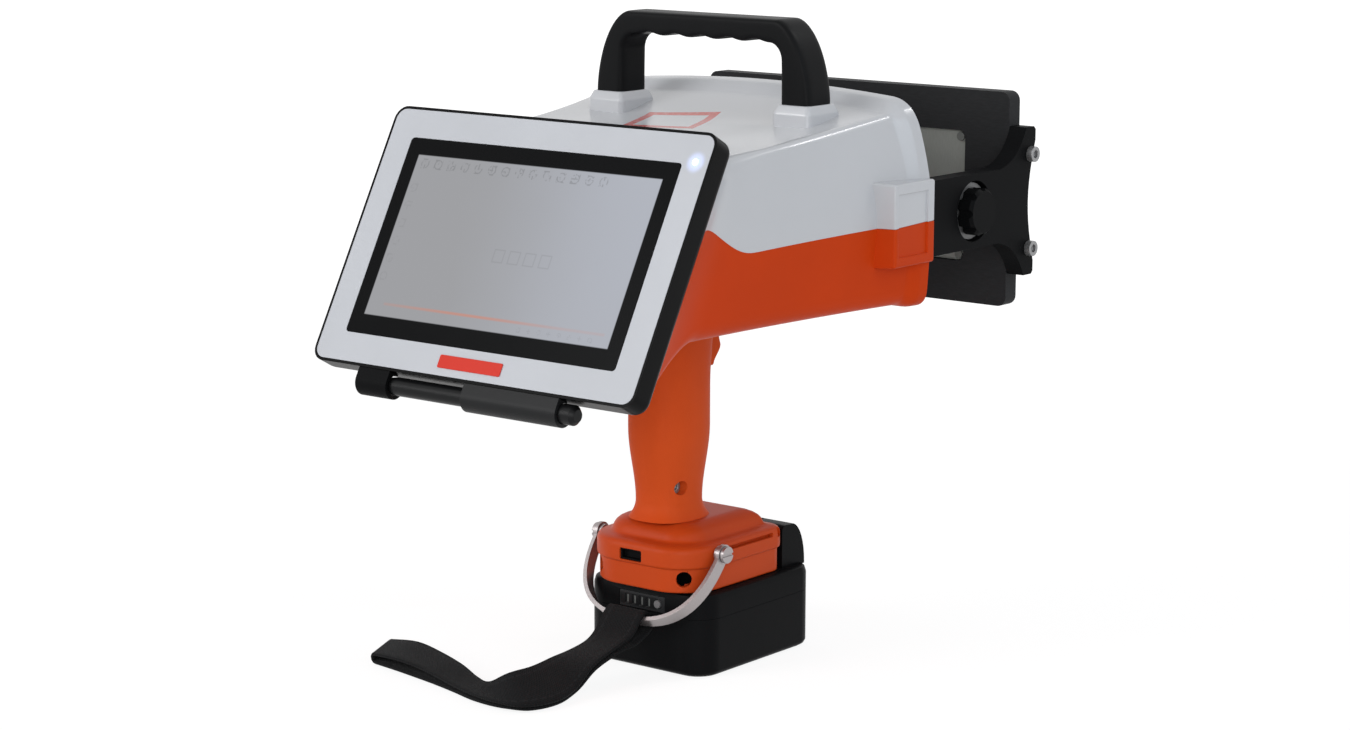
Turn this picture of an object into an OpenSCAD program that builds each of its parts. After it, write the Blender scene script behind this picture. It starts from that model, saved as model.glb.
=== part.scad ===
// Hand-held marking machine: a marking head behind a windowed guard plate, on a pistol grip
// with a slide-on battery pack below and a tilted touch display behind.
// Millimetres. +Z is up, +Y points at the work, +X is the operator's right.
// The origin lies on the table under the battery pack, on the plane of symmetry.

/* [Body shells] */
// Width across the front of the body, behind its lip
body_front_w = 215; // [210:1:222]
// Width at the waist behind the display
body_waist_w = 182; // [178:1:188]
// Width where the body meets the display
body_rear_w = 193; // [188:1:196]
// Front edge of the body
body_front_y = 45; // [43:1:50]
// Height of the roof's shoulders above the underside, at the front
shoulder_front_h = 96.75; // [93:0.25:100]
// Height of the roof's shoulders above the underside, at the display
shoulder_rear_h = 83.5; // [79:0.5:85]
// Rise of the front lip's middle above its ends
crown_h = 5; // [2:0.5:6]
// Dip of the roof's middle below its shoulders
roof_dish = 2; // [0:0.5:3]
// Drop of the underside behind the display's lower edge
floor_drop = 23; // [18:1:24]
// Wall thickness of both shells
wall = 3; // [2:0.5:4]
// Height of the seam between the shells above the underside, at the front
seam_h = 42.5; // [40:0.5:44]
// Rise of the seam towards the display
seam_rise = 15; // [10:1:18]
// Length of the raised front lip
lip_l = 14; // [10:1:18]
// Height of the front lip above the roof's shoulders
lip_up = 4.25; // [3:0.25:8]
// Depth of the raised side bosses that house the arms
boss_l = 38; // [36:1:44]
// Height of the raised side bosses
boss_h = 43; // [42.5:0.5:48]

/* [Display] */
// Width of the display housing
disp_w = 200.4; // [198:0.2:206]
// Height of the display housing
disp_h = 134; // [130:1:138]
// Depth of the display housing
disp_t = 14; // [13:0.5:18]
// Lean of the display back from upright
disp_tilt = 28.5; // [24:0.5:32]
// Place of the display's face along the machine
disp_y = -146.4; // [-150:0.2:-144]
// Height of the display's middle above the underside of the body
disp_up = 39.3; // [37:0.1:42]
// Black edge that shows around the white bezel
bezel_edge = 1.5; // [1:0.1:2.5]
// Width of the touch glass
glass_w = 168.2; // [160:0.2:174]
// Height of the touch glass
glass_h = 101.8; // [96:0.2:108]
// Thickness of the touch glass
glass_t = 1.8; // [1.2:0.1:2]

/* [Pen and clips] */
// Diameter of the pen
pen_d = 9; // [7:0.5:10]
// Tip of the pen, across the display
pen_tip_x = -62; // [-66:1:-56]
// Tail of the pen, across the display
pen_tail_x = 66; // [64:1:74]
// Width of the large clip
clip_large_w = 58; // [40:1:60]
// Width of the small clip
clip_small_w = 20; // [12:1:24]

/* [Carry handle] */
// Distance between the middles of the handle's legs
handle_span = 117.7; // [110:0.1:130]
// Width of a leg of the handle at its foot
leg_t = 17.7; // [15:0.1:20]
// Height of the pads under the handle's legs
pad_h = 8; // [6:0.5:12]
// Height of the handle above its pads
handle_h = 41.5; // [38:0.5:50]
// Thickness of the handle's bar
bar_t = 11.9; // [10:0.1:14]
// Depth of the handle's bar
bar_w = 21; // [18:0.5:24]
// Middle of the handle along the machine
handle_y = 7.5; // [2:0.5:10]

/* [Grip] */
// Length of the grip between the foot and the body
grip_l = 110; // [104:1:120]
// Middle of the grip along the machine
grip_y = -26; // [-28:0.5:-25]
// Width of the grip's belly
grip_w = 36; // [34:0.5:40]
// Depth of the grip's belly
grip_d = 43; // [41:0.5:46]
// Travel of the trigger
trigger_travel = 4; // [2:0.5:5]

/* [Foot and battery pack] */
// Width of the battery pack
pack_w = 78; // [75:0.5:80]
// Rear face of the battery pack
pack_rear_y = -47.5; // [-49:0.5:-45]
// Front face of the battery pack
pack_front_y = 46.5; // [44.5:0.5:50]
// Height of the pack's flat top
pack_h = 43; // [42:0.5:48]
// Height of the foot with its dome
foot_h = 32.6; // [31:0.2:36]
// Width of the foot
foot_w = 73; // [70:0.5:75]
// Rear face of the foot
foot_rear_y = -54.5; // [-57:0.5:-54]
// Front face of the foot
foot_front_y = 25.5; // [23:0.5:26]
// Running gap of the slide rails
slide_gap = 0.4; // [0.2:0.1:0.6]

/* [Bail] */
// Thickness of the bail's strip
bail_t = 2; // [1:0.5:2.5]
// Width of the bail's strip
bail_w = 7; // [5:0.5:8]
// Reach of the bail from its pivots
bail_reach = 43.5; // [42:0.5:50]
// Lean of the bail behind straight down
bail_lean = 37.5; // [36:0.5:45]

/* [Guard] */
// Width of the front plate
plate_w = 195.5; // [195.2:0.1:197]
// Height of the front plate
plate_h = 112; // [104:1:120]
// Thickness of the front plate
plate_t = 10; // [9:0.5:12]
// Back face of the front plate
plate_y = 132; // [130:1:140]
// Width of the plate's window
window_w = 142; // [130:1:150]
// Height of the plate's window
window_h = 69; // [62:1:76]
// Thickness of the arms
arm_t = 10; // [9:0.5:11]
// Height of the arms along their straight part
arm_h = 38; // [36:0.5:39]
// Travel of the guard towards the body
guard_travel = 20; // [10:1:20]
// Place of the clamp knobs along the machine
knob_y = 85.5; // [82:0.5:88]
// Diameter of the clamp knobs
knob_d = 24; // [20:1:26]

/* [Marking unit] */
// Height of the marking axis above the underside of the body
axis_up = 42.5; // [41:0.5:44]
// Sideways travel of the head, each way
x_travel = 20; // [10:1:22]
// Up and down travel of the head, each way
z_travel = 10; // [5:1:11]
// Stroke of the marking pin
strike = 6; // [3:0.5:8]
// Diameter of the sideways guide rods
x_rod_d = 8; // [6:0.5:10]
// Diameter of the upright guide rods
z_rod_d = 6; // [4:0.5:6.5]
// Diameter of the solenoid
solenoid_d = 30; // [24:1:32]
// Front end of the nose tube
nose_end_y = 112; // [105:1:114]

/* [Hidden] */
$fn = 48;

// Running clearances
fit = 0.2;
run = 0.3;
eps = 0.05;

// Colours
white_c = [0.88, 0.89, 0.9];
orange_c = [0.85, 0.3, 0.12];
black_c = [0.12, 0.12, 0.13];
steel_c = [0.7, 0.7, 0.72];
board_c = [0.1, 0.35, 0.2];

// Heights, stacked from the table up
foot_z = pack_h + slide_gap;
grip_z = foot_z + foot_h;
body_z = grip_z + grip_l;
axis_z = body_z + axis_up;
disp_z = body_z + disp_up;

// Body lengthwise: 0 at the front rim, 1 at the back plane of the display
body_rear_y = disp_y + disp_t / cos(disp_tilt);
body_l = body_front_y - body_rear_y;
waist_t = 0.84;
stations = [0, 0.03, 0.045, 0.06, 0.08, 0.11, 0.16, 0.25, 0.34, 0.43, 0.52, 0.61, 0.69, 0.76,
    0.82, 0.87, 0.91, 0.945, 0.975, 1];
lip_out = 2;
lip_flat = 5;
side_taper = 3;
top_taper = 13;
edge_r = 4;
rim_r = 13;
rear_r = 6;
dish_t = 0.3;
fade_t = 0.6;
lip_down = 1.5;
floor_r = 9;
seam_fall = 4;

function mix(a, b, t) = a + (b - a) * t;
function clamp01(t) = max(0, min(1, t));
function ease(t) = t * t * (3 - 2 * t);
function bezier(a, b, c, t) = mix(mix(a, b, t), mix(b, c, t), t);
function arc(cx, cy, r, a0, a1, n) = [
    for (i = [0:n]) [cx + r * cos(mix(a0, a1, i / n)), cy + r * sin(mix(a0, a1, i / n))]
];

// Outline of a rectangle with round corners, one radius at the low end and one at the high end
function round_box(w, y0, y1, r0, r1, n = 6) = concat(
    arc(w / 2 - r0, y0 + r0, r0, -90, 0, n), arc(w / 2 - r1, y1 - r1, r1, 0, 90, n),
    arc(r1 - w / 2, y1 - r1, r1, 90, 180, n), arc(r0 - w / 2, y0 + r0, r0, 180, 270, n)
);
function lift(points, z) = [for (p = points) [p.x, p.y, z]];

// Body sections
function body_t(y) = (body_front_y - y) / body_l;
function lean(t) = tan(disp_tilt) * pow(clamp01((t - 0.15) / 0.85), 1.5);
function lip(t) = 1 - ease(clamp01((t * body_l - lip_flat) / (lip_l - lip_flat)));
function half_mid(t) = lip_out * lip(t) + (t < waist_t
    ? mix(body_front_w, body_waist_w, 1 - pow(1 - t / waist_t, 1.6))
    : mix(body_waist_w, body_rear_w, pow((t - waist_t) / (1 - waist_t), 2))) / 2;
function half_bottom(t) = half_mid(t) - mix(side_taper, 1, t);
function half_top(t) = half_mid(t) - mix(top_taper, 1, t * t);
function shoulder_z(t) = body_z + lip_up * lip(t)
    + mix(shoulder_front_h, shoulder_rear_h, 1 - pow(1 - t, 1.9));
function floor_z(t) = body_z - lip_down * lip(t)
    - floor_drop * pow(clamp01((t - waist_t) / (1 - waist_t)), 1.6);
function fade(t) = ease(clamp01((t - fade_t) / (1 - fade_t)));
function roof_rise(t) = mix(crown_h, -roof_dish * (1 - fade(t)), ease(clamp01(t / dish_t)));
function roof_z(t, x) = shoulder_z(t) + roof_rise(t) * (1 - pow(x / half_top(t), 2));
function shoulder_r(t) = mix(edge_r, rim_r, lip(t)) + rear_r * fade(t);
function seam_z(t) = body_z + seam_h - seam_fall * min(1, t / 0.68)
    + seam_rise * ease(clamp01((t - 0.7) / 0.27));
function side_x(t, z) = z > axis_z
    ? mix(half_mid(t), half_top(t), pow((z - axis_z) / (shoulder_z(t) - axis_z), 1.8))
    : mix(half_mid(t), half_bottom(t), (axis_z - z) / (axis_z - floor_z(t)));

// Right half of a shell section from the seam to the middle, moved inwards by o
function upper_half(t, o) =
    let (top = shoulder_z(t), w = half_top(t), low = seam_z(t), r = shoulder_r(t))
    concat(
        [for (i = [0:6]) let (z = mix(low, top - r, i / 7)) [side_x(t, z) - o, z]],
        [for (i = [0:7]) bezier([side_x(t, top - r) - o, top - r], [w - o, top + 0.5 - o],
            [w - r, roof_z(t, w - r) - o], i / 7)],
        [for (i = [1:7]) let (x = (w - r) * (1 - i / 7)) [x, roof_z(t, x) - o]]
    );
function lower_half(t, o) =
    let (low = floor_z(t), w = half_bottom(t), top = seam_z(t), r = floor_r)
    concat(
        [for (i = [0:5]) let (z = mix(top, low + r, i / 6)) [side_x(t, z) - o, z]],
        [for (i = [0:5]) bezier([side_x(t, low + r) - o, low + r], [w - o, low + o],
            [w - r, low + o], i / 5)],
        [for (i = [1:4]) [(w - r) * (1 - i / 4), low + o]]
    );
function mirror_row(half) = concat(half, [for (i = [len(half) - 2:-1:0]) [-half[i].x, half[i].y]]);
function stand(t, row) = [
    for (p = row) [p.x, mix(body_front_y, body_rear_y, t) + (p.y - disp_z) * lean(t), p.y]
];
function back(row) = [for (i = [len(row) - 1:-1:0]) row[i]];
function upper_ring(t) = concat(
    stand(t, mirror_row(upper_half(t, 0))), back(stand(t, mirror_row(upper_half(t, wall)))));
function lower_ring(t) = concat(
    stand(t, mirror_row(lower_half(t, 0))), back(stand(t, mirror_row(lower_half(t, wall)))));

// Faces of a skin over rings of points
function ring_faces(rows, n, closed = false) = [
    for (r = [0:rows - (closed ? 1 : 2)], c = [0:n - 1])
        let (a = r * n, b = (r + 1) % rows * n, d = (c + 1) % n)
        each [[a + c, b + c, a + d], [a + d, b + c, b + d]]
];
function cap_faces(base, n, last) = [
    for (k = [0:n / 2 - 2])
        let (a = base + k, b = base + n - 1 - k)
        each last ? [[a, b, a + 1], [a + 1, b, b - 1]] : [[a, a + 1, b], [a + 1, b - 1, b]]
];
module loft(rows) {
    n = len(rows[0]);
    polyhedron(
        points = [for (r = rows) each r],
        faces = concat(ring_faces(len(rows), n), cap_faces(0, n, false),
            cap_faces((len(rows) - 1) * n, n, true)));
}

// Simple solids in the machine's frame
module box(x, y, z) {
    translate([x[0], y[0], z[0]]) cube([x[1] - x[0], y[1] - y[0], z[1] - z[0]]);
}
module x_rod(d, x0, x1, y, z) {
    translate([x0, y, z]) rotate([0, 90, 0]) cylinder(d = d, h = x1 - x0);
}
module y_rod(d, y0, y1, x, z) {
    translate([x, y0, z]) rotate([-90, 0, 0]) cylinder(d = d, h = y1 - y0);
}
module z_rod(d, z0, z1, x, y) {
    translate([x, y, z0]) cylinder(d = d, h = z1 - z0);
}
module both_sides() {
    children();
    mirror([1, 0, 0]) children();
}
module side_plate(x, points) {
    translate([x[0], 0, 0]) rotate([90, 0, 90]) linear_extrude(x[1] - x[0]) polygon(points);
}

// Fasteners
cover_screw_d = 4;
cover_head_d = 8;
cover_head_h = 4;
cover_boss_d = 10;
cover_screw_at = [[84, 24], [72, -58]];
cover_head_z = body_z + 12;
cover_screw_top = body_z + 62;

// Side bosses and the arms inside them
arm_in = plate_w / 2;
arm_out = arm_in + arm_t;
arm_rear_y = 34;
boss_out = arm_out + run + wall;
boss_rear_y = body_front_y - boss_l;
boss_edge = 6;
boss_panel_d = 1;
pocket_y = arm_rear_y - guard_travel - 2;
pocket_h = arm_h + 2 * run;
boss_slope = 4;
boss_bevel = 1;
boss_root_x = body_waist_w / 2 + 4;
rail_t = 6;
rail_in = arm_in - run - rail_t;
function boss_ring(x, y, edge) = [
    [x, y, seam_z(body_t(y))], [x, body_front_y, seam_z(0)],
    [x, body_front_y, axis_z + edge], [x, y, axis_z + edge]
];
module boss_upper() {
    loft([boss_ring(boss_root_x, boss_rear_y, boss_h / 2),
        boss_ring(boss_out, boss_rear_y + boss_slope, boss_h / 2 - boss_bevel)]);
}
module boss_lower() {
    loft([back(boss_ring(boss_root_x, boss_rear_y, -boss_h / 2)),
        back(boss_ring(boss_out, boss_rear_y + boss_slope, boss_bevel - boss_h / 2))]);
}
module boss_cuts() {
    box([rail_in - 1, arm_out + run], [pocket_y, body_front_y + 1],
        [axis_z - pocket_h / 2, axis_z + pocket_h / 2]);
    box([boss_out - boss_panel_d, boss_out + 1],
        [boss_rear_y + boss_slope + boss_edge / 2, body_front_y - boss_edge],
        [axis_z - boss_h / 2 + boss_edge, axis_z + boss_h / 2 - boss_edge]);
}

// Handle and its pads
pad_z = roof_z(body_t(handle_y), handle_span / 2) + pad_h;
pad_top_w = leg_t + 1.6;
pad_top_l = bar_w + 2;
pad_flare = 2;
handle_screw_d = 5;
handle_head_d = 10;
handle_head_h = 3;
handle_head_z = roof_z(body_t(handle_y), handle_span / 2) - wall - 2;
handle_screw_top = pad_z + 14;
function pad_row(z, grow) = [
    for (p = round_box(pad_top_w + 2 * grow, handle_y - pad_top_l / 2 - grow,
        handle_y + pad_top_l / 2 + grow, 5, 5, 3)) [p.x + handle_span / 2, p.y, z]
];

// Display frame: x across, y up the glass, z out of the glass
module on_display() {
    translate([0, disp_y, disp_z]) rotate([90 - disp_tilt, 0, 0]) children();
}
disp_r = 7;
disp_wall = 2.5;
bezel_w = disp_w - 2 * bezel_edge;
bezel_h = disp_h - 2 * bezel_edge;
bezel_t = 2;
disp_screw_d = 4;
disp_head_d = 7;
disp_head_h = 2.4;
disp_screw_in = 10.5;
disp_screw_v = 44;
disp_screw_at = [
    for (x = [-1, 1], y = [-1, 1]) [x * (body_rear_w / 2 - disp_screw_in), y * disp_screw_v]
];
disp_boss_d = 8;
disp_boss_l = 12;
disp_web_t = 3;
function disp_web_end(v) =
    side_x(1 - disp_boss_l / body_l, disp_z + v * cos(disp_tilt)) - wall / 2;
module disp_bosses(side) {
    on_display()
        for (p = disp_screw_at)
            if (p.y * side > 0) {
                translate([p.x, p.y, -disp_t - disp_boss_l]) cylinder(d = disp_boss_d, h = disp_boss_l);
                box([min(p.x, sign(p.x) * disp_web_end(p.y)), max(p.x, sign(p.x) * disp_web_end(p.y))],
                    [p.y - disp_web_t / 2, p.y + disp_web_t / 2], [-disp_t - disp_boss_l, -disp_t]);
            }
}
module disp_bores(side) {
    on_display()
        for (p = disp_screw_at)
            if (p.y * side > 0)
                translate([p.x, p.y, -disp_t - disp_boss_l + 1])
                    cylinder(d = disp_screw_d + fit, h = disp_boss_l);
}

// Upper cover: white roof shell with the handle's pads
module upper_cover() {
    color(white_c) difference() {
        union() {
            loft([for (t = stations) upper_ring(t)]);
            both_sides() {
                loft([pad_row(handle_head_z + 3, pad_flare), pad_row(pad_z - pad_h / 2, pad_flare),
                    pad_row(pad_z, 0)]);
                boss_upper();
                for (p = cover_screw_at)
                    z_rod(cover_boss_d, seam_z(body_t(p.y)), roof_z(body_t(p.y), p.x) - wall / 2,
                        p.x, p.y);
            }
            disp_bosses(1);
        }
        both_sides() {
            boss_cuts();
            z_rod(handle_screw_d + fit, 0, pad_z + 1, handle_span / 2, handle_y);
            z_rod(handle_head_d + 2, handle_head_z - 10, handle_head_z + handle_head_h,
                handle_span / 2, handle_y);
            for (p = cover_screw_at)
                z_rod(cover_screw_d + fit, 0, cover_screw_top + 1, p.x, p.y);
        }
        disp_bores(1);
    }
}

// Lower housing: orange shell under the seam
board_z = body_z + wall + 5;
board_x = 62;
board_y = [-96, -34];
board_t = 1.6;
post_d = 8;
board_post_at = [for (y = [board_y[0] + post_d, board_y[1] - post_d]) [board_x - post_d, y]];
board_screw_d = 2.5;
board_screw_l = 5;
module lower_housing() {
    color(orange_c) difference() {
        union() {
            loft([for (t = stations) back(lower_ring(t))]);
            both_sides() {
                boss_lower();
                for (p = cover_screw_at)
                    z_rod(cover_boss_d, body_z + wall / 2, seam_z(body_t(p.y)), p.x, p.y);
                for (p = board_post_at) z_rod(post_d, body_z + wall / 2, board_z, p.x, p.y);
            }
            disp_bosses(-1);
        }
        both_sides() {
            boss_cuts();
            for (p = cover_screw_at) {
                z_rod(cover_screw_d + fit, 0, axis_z + 40, p.x, p.y);
                z_rod(cover_head_d + 2 * fit, body_z - 1, cover_head_z, p.x, p.y);
            }
            for (p = board_post_at)
                z_rod(board_screw_d + fit, board_z - board_screw_l, board_z + 1, p.x, p.y);
        }
        disp_bores(-1);
        box([-grip_w / 4, grip_w / 4], [grip_y - 12, grip_y + 12], [body_z - 1, body_z + wall + 1]);
    }
}

// Front panel: black plate that closes the rim around the head
panel_y = [body_front_y - 7, body_front_y - 4];
head_window = [2 * (x_travel + solenoid_d / 2 + 5), 2 * (z_travel + solenoid_d / 2 + 4)];
panel_screw_at = [for (x = [-1, 1], z = [-1, 1]) [x * 70, z * 28]];
panel_screw_d = 3;
frame_y = [body_front_y - 15, body_front_y - 10];
module front_panel() {
    t = body_t(panel_y[0]);
    half_up = upper_half(t, wall + run);
    half_low = lower_half(t, wall + run);
    outline = concat(mirror_row(half_up), back(mirror_row(half_low)));
    color(black_c) difference() {
        union() {
            translate([0, panel_y[1], 0]) rotate([90, 0, 0])
                linear_extrude(panel_y[1] - panel_y[0]) polygon(outline);
            for (p = panel_screw_at) y_rod(8, frame_y[1], panel_y[0] + eps, p.x, axis_z + p.y);
        }
        box([-head_window.x / 2, head_window.x / 2], [0, body_front_y],
            [axis_z - head_window.y / 2, axis_z + head_window.y / 2]);
        both_sides()
            box([rail_in - 2, body_front_w], [0, body_front_y],
                [axis_z - boss_h / 2 - run, axis_z + boss_h / 2 + run]);
        for (p = panel_screw_at) y_rod(panel_screw_d + fit, 0, body_front_y, p.x, axis_z + p.y);
    }
}

// Screws of the case: four under the shells, four in the front panel and four on the main board
small_head_d = 5.5;
small_head_h = 2;
module case_screws() {
    color(steel_c) {
        both_sides() {
            for (p = cover_screw_at) {
                z_rod(cover_screw_d, cover_head_z - eps, cover_screw_top, p.x, p.y);
                z_rod(cover_head_d, cover_head_z - cover_head_h, cover_head_z, p.x, p.y);
            }
            for (p = board_post_at) {
                z_rod(board_screw_d, board_z - board_screw_l + 1, board_z + board_t + eps, p.x, p.y);
                z_rod(small_head_d, board_z + board_t, board_z + board_t + small_head_h, p.x, p.y);
            }
        }
        for (p = panel_screw_at) {
            y_rod(panel_screw_d, frame_y[0], panel_y[1] + eps, p.x, axis_z + p.y);
            y_rod(small_head_d, panel_y[1], panel_y[1] + small_head_h, p.x, axis_z + p.y);
        }
    }
}

// Carry handle: a bar on two legs that lean in from their feet, waved under the fingers
handle_r = 8;
wave_n = 5;
wave_d = 1.4;
ring_n = 20;
leg_n = 12;
leg_bend = 5;
handle_shelf = 5;
handle_top = pad_z + handle_h;
handle_in = handle_span / 2 - leg_t / 2;
handle_flat = handle_in - handle_r + handle_shelf;
function full(c) = pow(abs(c), 1.143);
function leg_outer(k) = let (a = 90 * k / leg_n)
    [handle_flat + (handle_in + leg_t - handle_flat) * full(cos(a)), pad_z + handle_h * full(sin(a))];
function leg_inner(k) =
    let (low = handle_top - bar_t - handle_r, b = 90 * max(0, k - leg_bend) / (leg_n - leg_bend))
    k <= leg_bend ? [handle_in, mix(pad_z, low, k / leg_bend)]
        : [handle_in - handle_r + handle_r * cos(b), low + handle_r * sin(b)];
function flip(p) = [-p[0], p[1]];
handle_path = concat(
    [for (k = [0:leg_n]) [flip(leg_outer(k)), flip(leg_inner(k))]],
    [for (i = [1:29]) let (s = 2 * i / 30 - 1, rise = wave_d * (1 - cos(12 * wave_n * i)) / 2)
        [[s * handle_flat, handle_top], [s * (handle_in - handle_r), handle_top - bar_t + rise]]],
    [for (k = [leg_n:-1:0]) [leg_outer(k), leg_inner(k)]]
);
function soft(c) = sign(c) * pow(abs(c), 0.55);
function handle_ring(p) = [
    for (k = [0:ring_n - 1])
        let (a = 360 * (k + 0.5) / ring_n, q = mix(p[1], p[0], (1 + soft(cos(a))) / 2))
        [q[0], handle_y + soft(sin(a)) * bar_w / 2, q[1]]
];
module carry_handle() {
    color(black_c) difference() {
        loft([for (p = handle_path) handle_ring(p)]);
        both_sides()
            z_rod(handle_screw_d + fit, pad_z - 1, handle_screw_top + 1, handle_span / 2, handle_y);
    }
}

module handle_screws() {
    color(steel_c) both_sides() {
        z_rod(handle_screw_d, handle_head_z, handle_screw_top, handle_span / 2, handle_y);
        z_rod(handle_head_d, handle_head_z, handle_head_z + handle_head_h, handle_span / 2, handle_y);
    }
}

// Display housing: black tub whose back closes the body
cable_w = 90;
cable_h = 50;
module plate(w, h, r, z0, z1) {
    translate([0, 0, z0]) linear_extrude(z1 - z0) polygon(round_box(w, -h / 2, h / 2, r, r));
}
module display_housing() {
    color(black_c) on_display() difference() {
        plate(disp_w, disp_h, disp_r, -disp_t, 0);
        plate(bezel_w + fit, bezel_h + fit, disp_r - bezel_edge, -bezel_t, 1);
        plate(disp_w - 2 * disp_wall - 4, disp_h - 2 * disp_wall - 4, disp_r - 2, disp_wall - disp_t, 1);
        plate(cable_w, cable_h, 4, -disp_t - 1, 0);
        for (p = disp_screw_at)
            translate([p.x, p.y, -disp_t - 1]) cylinder(d = disp_screw_d + fit, h = disp_t);
        translate([lamp_at.x, lamp_at.y, -disp_t / 2]) cylinder(d = lamp_d + fit, h = disp_t);
    }
}

lamp_v = 52;
lamp_at = [(glass_w + bezel_w) / 4, lamp_v];
lamp_d = 4;
module display_bezel() {
    color(white_c) on_display() difference() {
        plate(bezel_w, bezel_h, disp_r - bezel_edge, -bezel_t, 0);
        plate(glass_w + fit, glass_h + fit, 2, -bezel_t - 1, 1);
        translate([lamp_at.x, lamp_at.y, -bezel_t - 1]) cylinder(d = lamp_d + fit, h = bezel_t + 2);
    }
}

module touch_glass() {
    color([0.3, 0.31, 0.33]) on_display() plate(glass_w, glass_h, 2, -glass_t, 0);
}

// The panel fills the tub's width so that its back ledge carries the bezel and the glass
lcd_t = 5;
lcd_top = -bezel_t;
module lcd_panel() {
    color([0.5, 0.5, 0.55]) on_display() difference() {
        plate(disp_w - 2 * disp_wall - 4 - 2 * run, disp_h - 2 * disp_wall - 4 - 2 * run, disp_r - 2.2,
            lcd_top - lcd_t, lcd_top);
        translate([lamp_at.x, lamp_at.y, lcd_top - 3]) cylinder(d = lamp_d + fit, h = 4);
        for (p = disp_screw_at)
            translate([p.x, p.y, lcd_top - lcd_t - 1]) cylinder(d = disp_head_d + 2, h = lcd_t - 1);
    }
}

disp_board_w = 150;
disp_board_h = 92;
disp_board_t = 1.6;
disp_chip_h = 1.2;
module display_board() {
    top = lcd_top - lcd_t;
    color(board_c) on_display() difference() {
        union() {
            plate(disp_board_w, disp_board_h, 2, top - disp_board_t, top);
            plate(40, 30, 1, top - disp_board_t - disp_chip_h, top - disp_board_t + eps);
        }
        for (x = [-1, 1], y = [-1, 1])
            translate([x * (disp_board_w / 2 - 5), y * (disp_board_h / 2 - 5), top - 3])
                cylinder(d = 3, h = 4);
    }
}

module power_lamp() {
    color([0.8, 0.88, 1]) on_display() translate([lamp_at.x, lamp_at.y, 0]) {
        translate([0, 0, -bezel_t - 2]) cylinder(d = lamp_d, h = bezel_t + 2);
        intersection() {
            translate([0, 0, -lamp_d / 4]) sphere(d = 1.12 * lamp_d);
            cylinder(d = lamp_d, h = lamp_d);
        }
    }
}

badge_w = 39;
badge_h = 6.5;
badge_v = -58.6;
badge_t = 0.6;
module badge_plate() {
    color([0.83, 0.2, 0.15]) on_display() translate([0, badge_v, 0])
        plate(badge_w, badge_h, 0.8, 0, badge_t);
}

module display_screws() {
    color(steel_c) on_display() for (p = disp_screw_at) translate([p.x, p.y, 0]) {
        translate([0, 0, -disp_t - disp_boss_l + 2])
            cylinder(d = disp_screw_d, h = disp_boss_l + disp_wall - 2);
        translate([0, 0, disp_wall - disp_t]) cylinder(d = disp_head_d, h = disp_head_h);
    }
}

// Pen clips under the display: a flat front that hangs from its lower edge and curls under the pen
pen_gap = 0.8;
pen_v = -disp_h / 2 - pen_gap - pen_d / 2;
pen_w = -disp_t / 2;
clip_t = 1.8;
clip_bore = pen_d + 2 * run;
module pen_clip(x, w) {
    color(black_c) on_display() translate([x, 0, 0]) rotate([90, 0, 90]) linear_extrude(w) difference() {
        union() {
            translate([pen_v, pen_w]) circle(d = clip_bore + 2 * clip_t);
            translate([pen_v, pen_w + clip_bore / 2]) square([-disp_h / 2 - pen_v, clip_t]);
        }
        translate([pen_v, pen_w]) circle(d = clip_bore);
        translate([pen_v - clip_bore / 4, pen_w - clip_bore]) square([2 * clip_bore, clip_bore]);
        translate([-disp_h / 2, -disp_h]) square(2 * disp_h);
    }
}
clip_large_x = pen_tail_x - 8.5 - clip_large_w;
clip_small_x = pen_tip_x - 6;
module pen_clip_small() { pen_clip(clip_small_x, clip_small_w); }
module pen_clip_large() { pen_clip(clip_large_x, clip_large_w); }

// Pen: a turned barrel with a tail cap, and a separate writing tip
pen_cap_l = 8;
pen_nib_l = 9;
pen_taper_l = 7;
module pen_turned(profile) {
    on_display() translate([0, pen_v, pen_w]) rotate([0, 90, 0]) rotate_extrude() polygon(profile);
}
module pen_barrel() {
    r = pen_d / 2;
    cap_r = r + 0.3;
    color(black_c) pen_turned([
        [0, pen_tip_x + pen_nib_l], [r - 1, pen_tip_x + pen_nib_l],
        [r, pen_tip_x + pen_nib_l + pen_taper_l], [r, pen_tail_x - pen_cap_l],
        [cap_r, pen_tail_x - pen_cap_l], [cap_r, pen_tail_x - 2],
        [r - 1.5, pen_tail_x], [0, pen_tail_x]]);
}
module pen_tip() {
    color([0.3, 0.3, 0.32]) pen_turned([
        [0, pen_tip_x], [0.8, pen_tip_x + 0.6],
        [pen_d / 2 - 1.2, pen_tip_x + pen_nib_l], [0, pen_tip_x + pen_nib_l]]);
}

// Grip: two clamshell halves around the trigger switch
grip_wall = 3;
grip_neck = 6;
grip_rows = 12;
function grip_half_w(h) = grip_w / 2 - grip_neck / 2 * (1 - ease(clamp01((h - 0.08) / 0.34)))
    + 1 * ease(clamp01((h - 0.6) / 0.4)) + 3 * pow(1 - clamp01(h / 0.08), 2);
function grip_half_d(h) = grip_d / 2 - grip_neck * 0.75 * (1 - ease(clamp01((h - 0.08) / 0.34)))
    + 3 * ease(clamp01((h - 0.6) / 0.4)) + 4 * pow(1 - clamp01(h / 0.08), 2);
function grip_point(h, a, o) = [
    (grip_half_w(h) - o) * pow(abs(sin(a)), 0.82),
    grip_y + sign(cos(a)) * (grip_half_d(h) - o) * pow(abs(cos(a)), 0.82),
    grip_z + h * grip_l
];
grip_h = concat([0, 0.03, 0.06], [for (i = [1:grip_rows]) 0.06 + 0.94 * i / grip_rows]);
grip_n = 16;
function grip_ring(h) = concat(
    [for (i = [0:grip_n]) grip_point(h, 180 * i / grip_n, 0)],
    [for (i = [grip_n:-1:0]) grip_point(h, 180 * i / grip_n, grip_wall)]
);
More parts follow.
